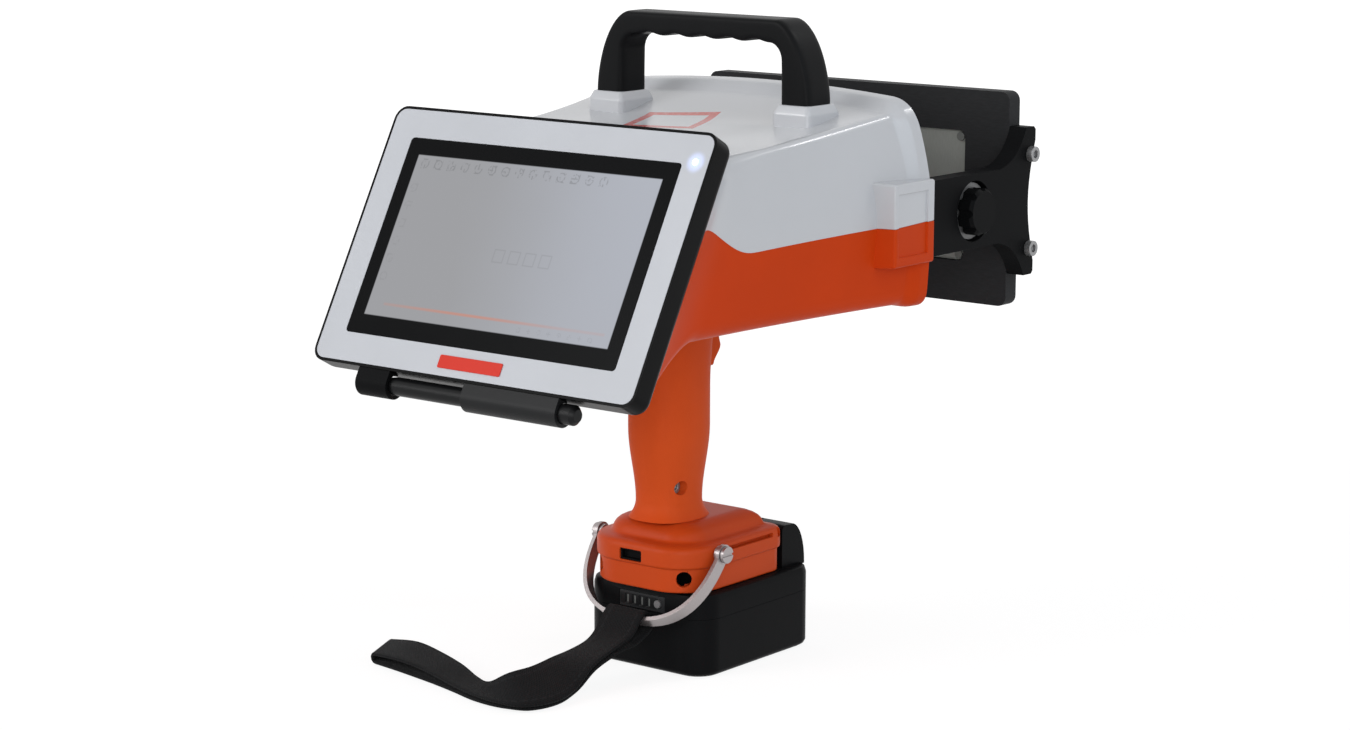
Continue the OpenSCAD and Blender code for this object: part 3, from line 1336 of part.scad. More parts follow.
upper_cover();
lower_housing();
front_panel();
case_screws();
carry_handle();
handle_screws();
display_housing();
display_bezel();
touch_glass();
lcd_panel();
display_board();
power_lamp();
badge_plate();
display_screws();
pen_clip_small();
pen_clip_large();
grip_left();
grip_right();
grip_screws();
trigger_switch();
battery_foot();
terminal_block();
terminal_blades();
service_port();
bail_screws();
main_board();
chassis();
x_rods();
x_motor();
x_carriage();
x_nut();
z_rods();
z_motor();
z_carriage();
solenoid();
stylus_nose();
marking_pin();
x_screw();
z_screw();
front_plate();
aperture_sheet();
arm_left();
arm_right();
arm_bolts();
sheet_screws();
clamp_washers();
clamp_nuts();
knob_left();
knob_right();
battery_case();
battery_lid();
battery_cells();
gauge_panel();
latch_button();
gauge_button();
trigger_button();
bail();
hand_strap();
pen_barrel();
pen_tip();
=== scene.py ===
"""Dresses a hand-held marking machine over its packed construction frame."""
import logging
import math
from dataclasses import dataclass
from enum import Enum
from typing import Any, Callable, Iterable, Optional, Sequence, Union

import bmesh
import bpy
from mathutils import Matrix, Vector


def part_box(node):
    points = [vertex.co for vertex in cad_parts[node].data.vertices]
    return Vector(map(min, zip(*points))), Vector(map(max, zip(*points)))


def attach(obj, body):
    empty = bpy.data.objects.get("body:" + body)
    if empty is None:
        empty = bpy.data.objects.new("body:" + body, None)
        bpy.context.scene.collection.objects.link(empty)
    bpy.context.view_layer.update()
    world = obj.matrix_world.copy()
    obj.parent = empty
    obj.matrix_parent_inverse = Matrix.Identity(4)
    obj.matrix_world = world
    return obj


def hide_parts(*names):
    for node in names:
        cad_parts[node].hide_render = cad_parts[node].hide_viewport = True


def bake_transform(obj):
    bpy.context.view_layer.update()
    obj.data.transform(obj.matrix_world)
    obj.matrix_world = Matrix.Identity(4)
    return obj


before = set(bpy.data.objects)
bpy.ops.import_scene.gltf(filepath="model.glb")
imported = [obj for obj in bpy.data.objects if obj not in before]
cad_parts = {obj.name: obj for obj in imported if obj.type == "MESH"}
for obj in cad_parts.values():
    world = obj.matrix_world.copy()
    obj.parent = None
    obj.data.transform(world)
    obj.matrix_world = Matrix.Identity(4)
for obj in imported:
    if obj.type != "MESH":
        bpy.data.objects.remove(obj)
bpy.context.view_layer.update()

MM = 0.001
LOG = logging.getLogger("marking_machine")
Colour = tuple[float, float, float]
Point = tuple[float, float, float]
Pair = tuple[float, float]
Row = list[Vector]


class Body(Enum):
    """Moving bodies that pieces ride on."""

    HOUSING = "housing"
    X_STAGE = "x_stage"
    Z_STAGE = "z_stage"
    GUARD = "guard"
    LEFT_KNOB = "left_knob"
    RIGHT_KNOB = "right_knob"
    BATTERY = "battery"
    LATCH = "latch"
    CHECK = "check_button"
    TRIGGER = "trigger"
    BAIL = "bail_loop"
    PEN = "pen"


class Slot(Enum):
    """Material slots of the record."""

    WHITE = "white_plastic"
    ORANGE = "orange_plastic"
    BLACK = "black_plastic"
    BLACK_METAL = "black_metal"
    CASE = "black_case"
    SHEET = "grey_sheet"
    GLASS = "glass_face"
    LAMP = "lamp"
    BADGE = "red_badge"
    STEEL = "steel"
    FRAME = "frame_metal"
    MOTOR = "motor"
    STRAP = "strap"
    BUTTON = "button"


def mix(a: Any, b: Any, t: float) -> Any:
    """Goes from a to b as t goes from 0 to 1."""
    return a + (b - a) * t


def clamp01(value: float) -> float:
    """Keeps a value between 0 and 1."""
    return min(1.0, max(0.0, value))


def ease(t: float) -> float:
    """Smooth step between 0 and 1."""
    return t * t * (3 - 2 * t)


def bezier(a: Vector, b: Vector, c: Vector, t: float) -> Vector:
    """Point at t of the curve from a to c that b pulls."""
    return mix(mix(a, b, t), mix(b, c, t), t)


def superellipse(angle: float, power: float) -> Pair:
    """Point of a unit superellipse: lower powers are squarer."""
    c, s = math.cos(angle), math.sin(angle)
    return math.copysign(abs(c) ** power, c), math.copysign(abs(s) ** power, s)


def round_box(width: float, y0: float, y1: float, rear: float, front: float,
              steps: int = 10) -> list[Vector]:
    """Outline of a box with rounded corners, centred across x.

    Args:
        width: Size across x.
        y0: Rear edge.
        y1: Front edge.
        rear: Corner radius at y0.
        front: Corner radius at y1.
        steps: Points in each corner.

    Returns:
        Points of the outline, anticlockwise from above.
    """
    half = width / 2
    corners = (
        (half - rear, y0 + rear, rear, -90), (half - front, y1 - front, front, 0),
        (front - half, y1 - front, front, 90), (rear - half, y0 + rear, rear, 180),
    )
    points = []
    for x, y, radius, start in corners:
        for i in range(steps + 1):
            angle = math.radians(start + 90 * i / steps)
            points.append(Vector((x + radius * math.cos(angle), y + radius * math.sin(angle))))
    return points


class Form:
    """A closed mesh that is being shaped, in millimetres."""

    LOOP_WELD = 1e-5
    CUT_WELD = 1e-4

    def __init__(self) -> None:
        """Starts with nothing."""
        self.mesh = bmesh.new()

    def loft(self, rows: Sequence[Row], looped: bool = False,
             marks: Optional[Callable[[int, int], Vector]] = None) -> "Form":
        """Extrudes one ring of points from row to row.

        Args:
            rows: Rings with the same number of points.
            looped: Joins the last row to the first instead of closing both ends.
            marks: Gives the lay of a point on the band, from its row and its place in the row.

        Returns:
            The form itself.
        """
        bm = self.mesh
        lay = bm.verts.layers.float_vector.new("lay") if marks else None
        ring = [bm.verts.new(p) for p in rows[0]]
        first = [bm.edges.new(pair) for pair in zip(ring, ring[1:] + ring[:1])]
        start, edges = list(ring), first
        for number, row in enumerate(rows[1:], 1):
            grown = bmesh.ops.extrude_edge_only(bm, edges=edges)["geom"]
            fresh = {g for g in grown if isinstance(g, bmesh.types.BMVert)}
            ring = [next(o for o in (e.other_vert(v) for e in v.link_edges) if o in fresh)
                    for v in ring]
            for place, (vert, point) in enumerate(zip(ring, row)):
                vert.co = point
                if lay:
                    vert[lay] = marks(number, place)
            edges = [g for g in grown
                     if isinstance(g, bmesh.types.BMEdge) and set(g.verts) <= fresh]
        if lay:
            for place, vert in enumerate(start):
                vert[lay] = marks(0, place)
        if looped:
            for a, b in zip(start, ring):
                b.co = a.co
            bmesh.ops.remove_doubles(bm, verts=start + ring, dist=self.LOOP_WELD)
        else:
            bmesh.ops.edgeloop_fill(bm, edges=first)
            bmesh.ops.edgeloop_fill(bm, edges=edges)
        return self.settle()

    def rod(self, diameter: float, start: Vector, end: Vector, sides: int = 48) -> "Form":
        """Adds a round bar.

        Args:
            diameter: Thickness of the bar.
            start: Middle of one end.
            end: Middle of the other end.
            sides: Faces round the bar.

        Returns:
            The form itself.
        """
        line = end - start
        turn = line.to_track_quat("Z", "Y").to_matrix().to_4x4()
        bmesh.ops.create_cone(
            self.mesh, cap_ends=True, segments=sides, radius1=diameter / 2, radius2=diameter / 2,
            depth=line.length, matrix=Matrix.Translation(start + line / 2) @ turn)
        return self

    def box(self, low: Sequence[float], high: Sequence[float]) -> "Form":
        """Adds a box.

        Args:
            low: Corner with the smallest coordinates.
            high: Corner with the largest coordinates.

        Returns:
            The form itself.
        """
        low, high = Vector(low), Vector(high)
        size = Matrix.Diagonal((*(high - low), 1))
        bmesh.ops.create_cube(self.mesh, size=1, matrix=Matrix.Translation((low + high) / 2) @ size)
        return self

    def settle(self) -> "Form":
        """Turns every face outwards."""
        bmesh.ops.recalc_face_normals(self.mesh, faces=self.mesh.faces)
        return self

    def merge(self, other: "Form") -> "Form":
        """Takes another form into this one, each still closed.

        Args:
            other: Form to take in, which is used up.

        Returns:
            The form itself.
        """
        draft = bpy.data.meshes.new("draft")
        other.mesh.to_mesh(draft)
        self.mesh.from_mesh(draft)
        other.mesh.free()
        bpy.data.meshes.remove(draft)
        return self

    def mirrored(self) -> "Form":
        """Adds the same form on the other side of the middle.

        Returns:
            The form itself.
        """
        bm = self.mesh
        copy = bmesh.ops.duplicate(bm, geom=bm.verts[:] + bm.edges[:] + bm.faces[:])["geom"]
        verts = [g for g in copy if isinstance(g, bmesh.types.BMVert)]
        bmesh.ops.scale(bm, vec=(-1, 1, 1), verts=verts)
        return self.settle()

    def cut(self, tool: "Form") -> "Form":
        """Takes a closed tool form out of this one.

        Args:
            tool: Form to remove, which is used up.

        Returns:
            The form itself.
        """
        drafts = []
        for form in (self, tool):
            mesh = bpy.data.meshes.new("draft")
            form.mesh.to_mesh(mesh)
            drafts.append(bpy.data.objects.new("draft", mesh))
            bpy.context.scene.collection.objects.link(drafts[-1])
        step = drafts[0].modifiers.new("cut", "BOOLEAN")
        step.operation, step.solver, step.object = "DIFFERENCE", "EXACT", drafts[1]
        bpy.context.view_layer.update()
        result = bpy.data.meshes.new_from_object(
            drafts[0].evaluated_get(bpy.context.evaluated_depsgraph_get()))
        self.mesh.clear()
        self.mesh.from_mesh(result)
        tool.mesh.free()
        for draft in drafts:
            mesh = draft.data
            bpy.data.objects.remove(draft)
            bpy.data.meshes.remove(mesh)
        bpy.data.meshes.remove(result)
        bmesh.ops.remove_doubles(self.mesh, verts=self.mesh.verts, dist=self.CUT_WELD)
        bmesh.ops.dissolve_degenerate(self.mesh, dist=self.CUT_WELD, edges=self.mesh.edges)
        return self

    def soften(self, width: float, segments: int = 2, angle: float = 30.0,
               among: Optional[Callable[[Vector], bool]] = None) -> "Form":
        """Rounds the sharp edges.

        Args:
            width: Size of the round.
            segments: Steps in the round.
            angle: Edges that turn by more than these degrees are sharp.
            among: Says whether the middle of an edge belongs to those to round.

        Returns:
            The form itself.
        """
        sharp = [
            e for e in self.mesh.edges
            if len(e.link_faces) == 2 and e.calc_face_angle(0.0) > math.radians(angle)
            and (among is None or among((e.verts[0].co + e.verts[1].co) / 2))
        ]
        if sharp:
            bmesh.ops.bevel(self.mesh, geom=sharp, offset=width, offset_type="OFFSET",
                            segments=segments, profile=0.5, affect="EDGES", clamp_overlap=True,
                            material=-1)
        return self


class Value:
    """A socket that takes part in sums."""

    def __init__(self, graph: "Graph", socket: bpy.types.NodeSocket) -> None:
        """Keeps the socket and the graph that it belongs to."""
        self.graph, self.socket = graph, socket

    def _math(self, operation: str, *terms: "Term") -> "Value":
        """Adds one Math node."""
        return self.graph.node("ShaderNodeMath", {"operation": operation}, dict(enumerate(terms)))

    def __add__(self, other: "Term") -> "Value":
        """Sum."""
        return self._math("ADD", self, other)

    def __radd__(self, other: "Term") -> "Value":
        """Reflected sum."""
        return self._math("ADD", other, self)

    def __sub__(self, other: "Term") -> "Value":
        """Difference."""
        return self._math("SUBTRACT", self, other)

    def __rsub__(self, other: "Term") -> "Value":
        """Reflected difference."""
        return self._math("SUBTRACT", other, self)

    def __mul__(self, other: "Term") -> "Value":
        """Product."""
        return self._math("MULTIPLY", self, other)

    def __rmul__(self, other: "Term") -> "Value":
        """Reflected product."""
        return self._math("MULTIPLY", other, self)

    def __truediv__(self, other: "Term") -> "Value":
        """Quotient."""
        return self._math("DIVIDE", self, other)

    def __abs__(self) -> "Value":
        """Size without its sign."""
        return self._math("ABSOLUTE", self)

    def fraction(self) -> "Value":
        """What is left after the whole number."""
        return self._math("FRACT", self)

    def sine(self) -> "Value":
        """Sine of the value."""
        return self._math("SINE", self)

    def larger(self, other: "Term") -> "Value":
        """Larger of two."""
        return self._math("MAXIMUM", self, other)

    def smaller(self, other: "Term") -> "Value":
        """Smaller of two."""
        return self._math("MINIMUM", self, other)

    def step(self, low: float, high: float) -> "Value":
        """Goes smoothly from 0 at low to 1 at high."""
        return self.graph.node("ShaderNodeMapRange", {"interpolation_type": "SMOOTHSTEP"},
                               {"Value": self, "From Min": low, "From Max": high})


Term = Union[Value, float]


class Graph:
    """The nodes of one material or world."""

    def __init__(self, owner: Union[bpy.types.Material, bpy.types.World]) -> None:
        """Empties the owner's node tree.

        Args:
            owner: Material or world that the nodes belong to.
        """
        owner.use_nodes = True
        self.owner, self.tree = owner, owner.node_tree
        self.tree.nodes.clear()

    def join(self, socket: bpy.types.NodeSocket, value: Any) -> None:
        """Fills an input.

        Args:
            socket: Input to fill.
            value: Value to link, or the socket's own number, colour or vector.
        """
        if isinstance(value, Value):
            self.tree.links.new(value.socket, socket)
        elif socket.type == "RGBA" and len(value) == 3:
            socket.default_value = (*value, 1.0)
        else:
            socket.default_value = value

    def node(self, kind: str, settings: Optional[dict[str, Any]] = None,
             inputs: Optional[dict[Any, Any]] = None, output: Any = 0) -> Value:
        """Adds any node.

        Args:
            kind: Blender's name for the node.
            settings: Its properties.
            inputs: Values or links by socket name or number.
            output: Socket that is read.

        Returns:
            The chosen output.
        """
        made = self.tree.nodes.new(kind)
        for key, value in (settings or {}).items():
            setattr(made, key, value)
        for key, value in (inputs or {}).items():
            self.join(made.inputs[key], value)
        return Value(self, made.outputs[output])

    def place(self, origin: Sequence[float] = (0, 0, 0),
              turn: Sequence[float] = (0, 0, 0)) -> Value:
        """Object coordinates seen from an origin with its own turn."""
        spot = self.node("ShaderNodeTexCoord", output="Object")
        return self.node("ShaderNodeMapping", {"vector_type": "TEXTURE"},
                         {"Vector": spot, "Location": tuple(origin), "Rotation": tuple(turn)})

    def axes(self, vector: Value) -> list[Value]:
        """Splits a vector.

        Args:
            vector: Vector to split.

        Returns:
            Its parts along x, y and z.
        """
        split = self.tree.nodes.new("ShaderNodeSeparateXYZ")
        self.join(split.inputs[0], vector)
        return [Value(self, s) for s in split.outputs]

    def stretch(self, vector: Value, factors: Sequence[float]) -> Value:
        """A vector times its own factor on each axis."""
        return self.node("ShaderNodeVectorMath", {"operation": "MULTIPLY"},
                         {0: vector, 1: tuple(factors)})

    def noise(self, vector: Value, scale: float, detail: float = 3.0, rough: float = 0.5) -> Value:
        """Cloudy noise between 0 and 1."""
        return self.node("ShaderNodeTexNoise", None,
                         {"Vector": vector, "Scale": scale, "Detail": detail, "Roughness": rough})

    def blend(self, factor: Term, a: Any, b: Any) -> Value:
        """Colour that goes from a to b."""
        return self.node("ShaderNodeMix", {"data_type": "RGBA"}, {0: factor, 6: a, 7: b}, 2)

    def vary(self, factor: Term, colour: Colour, shade: float) -> Value:
        """Colour that goes from darker to lighter than itself by a share."""
        return self.blend(factor, tint(colour, 1 - shade), tint(colour, 1 + shade))

    def bump(self, height: Value, strength: float, depth: float = 0.0002) -> Value:
        """Normal of a surface with that height over it."""
        return self.node("ShaderNodeBump", None,
                         {"Height": height, "Strength": strength, "Distance": depth})

    def end(self, shader: Value, kind: str = "ShaderNodeOutputMaterial") -> None:
        """Joins a shader to the owner's output."""
        self.tree.links.new(shader.socket, self.tree.nodes.new(kind).inputs["Surface"])


def tint(colour: Colour, factor: float) -> Colour:
    """The colour, lighter or darker."""
    return tuple(min(1.0, c * factor) for c in colour)


class Finish:
    """A surface finish that makes its material once."""

    made: dict["Finish", bpy.types.Material] = {}

    def material(self) -> bpy.types.Material:
        """The finish's material.

        Returns:
            The material, made at the first call.
        """
        if self not in Finish.made:
            graph = Graph(bpy.data.materials.new(self.name))
            graph.end(graph.node("ShaderNodeBsdfPrincipled", None, self.inputs(graph)))
            Finish.made[self] = graph.owner
        return Finish.made[self]

    def inputs(self, graph: Graph) -> dict[str, Any]:
        """Works out the shader's inputs.

        Args:
            graph: Graph of the new material.

        Returns:
            Values by the names of the shader's sockets.
        """
        raise NotImplementedError


@dataclass(frozen=True)
class Moulded(Finish):
    """Moulded plastic: cloudy tone, fine grain and light scuffs."""

    name: str
    colour: Colour
    roughness: float = 0.4
    grain: float = 0.15
    shade: float = 0.06
    scuff: float = 0.06
    specular: float = 0.5
    pitch: float = 1500.0
    coat: float = 0.0
    cloud_scale: float = 14.0
    scuff_scale: float = 120.0
    scuff_lay: Point = (1, 1, 3)
    scuff_tint: float = 1.25

    def inputs(self, graph: Graph) -> dict[str, Any]:
        """Works out the shader's inputs.

        Args:
            graph: Graph of the new material.

        Returns:
            Values by the names of the shader's sockets.
        """
        spot = graph.place()
        cloud = graph.noise(spot, self.cloud_scale, 4.0)
        fine = graph.noise(spot, self.pitch, 2.0, 0.6)
        lain = graph.stretch(spot, self.scuff_lay)
        marks = graph.noise(lain, self.scuff_scale, 6.0, 0.7).step(0.56, 0.8)
        tone = graph.vary(cloud.step(0.3, 0.7), self.colour, self.shade)
        worn = graph.blend(marks * self.scuff, tone, tint(self.colour, self.scuff_tint))
        rough = self.roughness + (cloud - 0.5) * 0.12 + marks * self.scuff + (fine - 0.5) * 0.1
        return {
            "Base Color": self.paint(graph, worn), "Roughness": rough,
            "Coat Weight": self.coat, "Coat Roughness": 0.12,
            "Specular IOR Level": self.specular, "Normal": graph.bump(fine, self.grain),
        }

    def paint(self, graph: Graph, tone: Value) -> Value:
        """What is printed over the moulding: nothing here."""
        return tone


@dataclass(frozen=True)
class Printed(Moulded):
    """Moulded plastic with a plain printed frame on its upward side."""

    ink: Colour = (0.50, 0.032, 0.017)
    centre: Pair = (-0.012, -0.010)
    half: Pair = (0.0205, 0.0165)
    turn: float = 12.0
    line: float = 0.0046
    above: float = 0.255
    soft: float = 0.0006

    def paint(self, graph: Graph, tone: Value) -> Value:
        """Prints the frame, worn thin in places.

        Args:
            graph: Graph of the new material.
            tone: Colour of the moulding.

        Returns:
            The colour with the frame over it.
        """
        x, y, z = graph.axes(graph.place((*self.centre, 0), (0, 0, math.radians(self.turn))))
        wide, high = self.half

        def box(inset: float) -> Value:
            """Mask of the frame's area, drawn in by an inset."""
            across = (wide - inset - abs(x)).step(0, self.soft)
            return across * (high - inset - abs(y)).step(0, self.soft)

        frame_mask = box(0.0) * (1 - box(self.line)) * z.step(self.above, self.above + 0.001)
        wear = graph.noise(graph.place(), 320.0, 4.0).step(0.2, 0.55) * 0.25 + 0.72
        return graph.blend(frame_mask * wear, tone, self.ink)


@dataclass(frozen=True)
class Gauge(Moulded):
    """Dark gauge window with a row of small pale lamps."""

    centre: Point = (0.0, 0.0, 0.0)
    lamps: int = 4
    pitch_x: float = 0.0046
    shift: float = -0.0025
    bar_half: Pair = (0.17, 0.0021)
    rim_half: Pair = (0.0118, 0.0031)
    soft: float = 0.0003
    lamp_colour: Colour = (0.13, 0.135, 0.13)
    rim_tint: float = 3.0

    def paint(self, graph: Graph, tone: Value) -> Value:
        """Draws the lamps across the window.

        Args:
            graph: Graph of the new material.
            tone: Colour of the window.

        Returns:
            The colour with the lamps and the rim over it.
        """
        x, _, z = graph.axes(graph.place(self.centre))
        x = x - self.shift
        cell = (x / self.pitch_x + 0.5 * self.lamps).fraction() - 0.5
        inside = (self.pitch_x * self.lamps / 2 - abs(x)).step(0, 0.0001)
        wide, high = self.bar_half
        bar = (wide - abs(cell)).step(0, 0.05) * (high - abs(z)).step(0, self.soft) * inside
        wide, high = self.rim_half
        rim = 1 - (wide - abs(x)).step(0, self.soft) * (high - abs(z)).step(0, self.soft)
        window = graph.blend(rim * 0.5, tone, tint(self.colour, self.rim_tint))
        return graph.blend(bar * 0.9, window, self.lamp_colour)


@dataclass(frozen=True)
class Metal(Finish):
    """Bare or coated metal with a drawn grain along one axis."""

    name: str
    colour: Colour
    roughness: float = 0.3
    metallic: float = 1.0
    drawn: Point = (1, 1, 12)
    grain: float = 0.08
    shade: float = 0.08
    wear: float = 0.15
    specular: float = 0.5
    line_scale: float = 260.0
    cloud_scale: float = 24.0
    pit_scale: float = 900.0
    dull_tint: float = 0.6

    def inputs(self, graph: Graph) -> dict[str, Any]:
        """Works out the shader's inputs.

        Args:
            graph: Graph of the new material.

        Returns:
            Values by the names of the shader's sockets.
        """
        spot = graph.place()
        lines = graph.noise(graph.stretch(spot, self.drawn), self.line_scale, 4.0, 0.6)
        cloud = graph.noise(spot, self.cloud_scale, 3.0)
        pits = graph.noise(spot, self.pit_scale, 2.0).step(0.6, 0.75)
        tone = graph.vary(lines.step(0.25, 0.75), self.colour, self.shade)
        worn = cloud.step(0.45, 0.8) * self.wear
        return {
            "Base Color": graph.blend(worn, tone, tint(self.colour, self.dull_tint)),
            "Roughness": self.roughness + (lines - 0.5) * 0.16 + cloud * 0.06 + pits * 0.05,
            "Metallic": self.metallic, "Specular IOR Level": self.specular,
            "Normal": graph.bump(lines, self.grain),
        }


@dataclass(frozen=True)
class Webbing(Finish):
    """Woven band, from its own lay: length along x, place across y."""

    name: str
    colour: Colour
    rib: float = 0.0011
    pick: float = 0.0016
    width: float = 0.024
    hem: Pair = (0.0022, 0.0008)
    seam_in: float = 0.0035
    seam_half: Pair = (0.0007, 0.0003)
    stitch: float = 0.0042

    def inputs(self, graph: Graph) -> dict[str, Any]:
        """Works out the shader's inputs.

        Args:
            graph: Graph of the new material.

        Returns:
            Values by the names of the shader's sockets.
        """
        lay = graph.node("ShaderNodeAttribute", {"attribute_name": "lay"}, output="Vector")
        along, across, _ = graph.axes(lay)
        half = self.width / 2
        wave = (across * (math.tau / self.rib)).sine()
        shift = (across / (2 * self.rib)).fraction().step(0.45, 0.55)
        pick = (along * (math.tau / self.pick) + shift * math.pi).sine()
        height = abs(wave) * 0.5 + (pick * 0.25 + 0.25)
        edge = abs(across).step(half - self.hem[0], half - self.hem[1])
        seam = abs(abs(across) - half + self.seam_in).step(*self.seam_half)
        dashes = (along / self.stitch).fraction().step(0.25, 0.35)
        dust = graph.noise(graph.place(), 60.0, 5.0, 0.65).step(0.45, 0.8)
        # Painted shade and painted highlight: the yarn is darker in the weave's dips and lighter on
        # its raised threads, following the bump's height.
        shaded_weave = graph.blend(height, tint(self.colour, 0.55), tint(self.colour, 1.35))
        bound = graph.blend(edge * 0.5, shaded_weave, tint(self.colour, 0.7))
        sewn = graph.blend(seam * dashes * 0.6, bound, tint(self.colour, 2.2))
        return {
            "Base Color": graph.blend(dust * 0.16, sewn, tint(self.colour, 3.0)),
            "Roughness": 0.78 + dust * 0.12, "Specular IOR Level": 0.08,
            "Sheen Weight": 0.03, "Sheen Roughness": 0.5,
            "Normal": graph.bump(height, 0.6, 0.0004),
        }


@dataclass(frozen=True)
class Board(Finish):
    """Circuit board: solder mask with pale traces and pads."""

    name: str
    colour: Colour = (0.02, 0.12, 0.06)
    lane_turns: Pair = (180.0, 150.0)
    pad_scale: float = 140.0
    pad_colour: Colour = (0.55, 0.5, 0.4)

    def inputs(self, graph: Graph) -> dict[str, Any]:
        """Works out the shader's inputs.

        Args:
            graph: Graph of the new material.

        Returns:
            Values by the names of the shader's sockets.
        """
        spot = graph.place()
        x, y, _ = graph.axes(spot)
        rows, columns = (abs((axis * turns).sine()).step(0.93, 0.98)
                         for axis, turns in zip((x, y), self.lane_turns))
        lanes = rows.larger(columns)
        patches = graph.noise(spot, 90.0, 2.0).step(0.48, 0.52)
        tone = graph.blend(lanes * patches, self.colour, tint(self.colour, 2.6))
        cells = {"Vector": spot, "Scale": self.pad_scale}
        pads = graph.node("ShaderNodeTexVoronoi", None, cells).step(0.16, 0.12)
        return {
            "Base Color": graph.blend(pads * 0.7, tone, self.pad_colour),
            "Roughness": 0.34 + patches * 0.1, "Normal": graph.bump(lanes, 0.2),
        }


@dataclass(frozen=True)
class SignRow:
    """A row of small signs on the screen's page."""

    upright: bool
    line: float
    start: float
    pitch: float
    count: int
    size: float
    ink: float


@dataclass(frozen=True)
class ScreenGlass(Finish):
    """Touch glass: black printed border round a pale lit page of plain signs."""

    name: str
    origin: Point
    turn: float
    page: Pair = (0.0763, 0.0420)
    rise: float = 0.0006
    border: Colour = (0.0024, 0.0026, 0.0030)
    dim: Colour = (0.318, 0.321, 0.336)
    bright: Colour = (0.425, 0.447, 0.503)
    ink_tint: float = 0.42
    rows: tuple[SignRow, ...] = (
        SignRow(False, 0.0374, -0.0744, 0.00867, 14, 0.0027, 0.42),
        SignRow(True, -0.0721, -0.026, 0.0092, 6, 0.0024, 0.16),
        SignRow(False, -0.0388, 0.018, 0.0062, 8, 0.0013, 0.22),
    )
    boxes: tuple[float, ...] = (-0.0051, 0.0045, 0.0141, 0.0237)
    box_y: float = -0.0046
    box_half: float = 0.0036
    box_line: float = 0.0006
    rule: tuple[float, float, float, float] = (0.0030, -0.0354, 0.0693, 0.0011)
    rule_colour: Colour = (0.60, 0.22, 0.14)
    rule_glow: float = -0.012

    def signs(self, graph: Graph, row: SignRow, x: Value, y: Value) -> Value:
        """Mask of a row of small signs, each a part of a ring, a cross and a box.

        Args:
            graph: Graph of the new material.
            row: Place and size of the signs.
            x: Place across the page.
            y: Place up the page.

        Returns:
            The mask, from 0 to 1.
        """
        along, across = (y, x) if row.upright else (x, y)
        across = across - row.line
        step = (along - row.start) / row.pitch
        cell = (step.fraction() - 0.5) * row.pitch
        size, area = row.size, row.size * row.size
        near = cell * cell + across * across
        wide = abs(cell).larger(abs(across))
        ring = (area - near).step(0, area * 0.25) * (near - area * 0.4).step(0, area * 0.25)
        arms = (size * 0.2 - abs(cell).smaller(abs(across))).step(0, size * 0.15)
        cross = arms * (size - wide).step(0, size * 0.1)
        brim = abs(wide - size * 0.82).step(size * 0.2, size * 0.08)
        part = graph.noise(graph.place(), 420.0, 1.0)
        drawn = (ring * part.step(0.42, 0.5)).larger(cross * part.step(0.5, 0.4))
        shape = drawn.larger(brim * part.step(0.5, 0.6))
        return shape * step.step(0, 0.01) * (row.count - step).step(0, 0.01)

    def inputs(self, graph: Graph) -> dict[str, Any]:
        """Works out the shader's inputs.

        Args:
            graph: Graph of the new material.

        Returns:
            Values by the names of the shader's sockets.
        """
        x, y, _ = graph.axes(graph.place(self.origin, (self.turn, 0, 0)))
        y = y - self.rise
        half_w, half_h = self.page
        ink = tint(self.dim, self.ink_tint)

        def patch(cx: float, cy: float, w: float, h: float, soft: float = 0.0004) -> Value:
            """Mask of a soft-edged box."""
            return (w - abs(x - cx)).step(0, soft) * (h - abs(y - cy)).step(0, soft)

        def outline(cx: float, half: float) -> Value:
            """Mask of a thin square outline in the row of boxes."""
            inner = half - self.box_line
            return patch(cx, self.box_y, half, half) * (1 - patch(cx, self.box_y, inner, inner))

        cloud = graph.noise(graph.place(), 11.0, 3.0)
        fall = ((x / half_w * 0.5 + 0.5).step(0.2, 1.0) * 0.86 + (cloud - 0.5) * 0.3
                + (y / half_h) * 0.05)
        page = graph.blend(fall.larger(0.0).smaller(1.0), self.dim, self.bright)
        drawn = sum(self.signs(graph, row, x, y) * row.ink for row in self.rows)
        page = graph.blend(drawn, page, ink)
        marks = outline(self.boxes[0], self.box_half)
        for centre in self.boxes[1:]:
            marks = marks.larger(outline(centre, self.box_half))
        page = graph.blend(marks * 0.2, page, ink)
        glow = (1 - abs((x - self.rule_glow) / half_w)).step(0.1, 1.0)
        rule = patch(*self.rule, 0.0009)
        page = graph.blend(rule * (glow * 0.5 + 0.16), page, self.rule_colour)
        lit = patch(0, 0, half_w, half_h, 0.0007)
        smear = graph.noise(graph.place(), 42.0, 5.0, 0.7)
        return {
            "Base Color": graph.blend(lit, self.border, tint(self.dim, 0.06)),
            "Roughness": 0.2 + smear * 0.08, "Specular IOR Level": 0.045,
            "Emission Color": graph.blend(lit, (0, 0, 0), page), "Emission Strength": 1.0,
        }


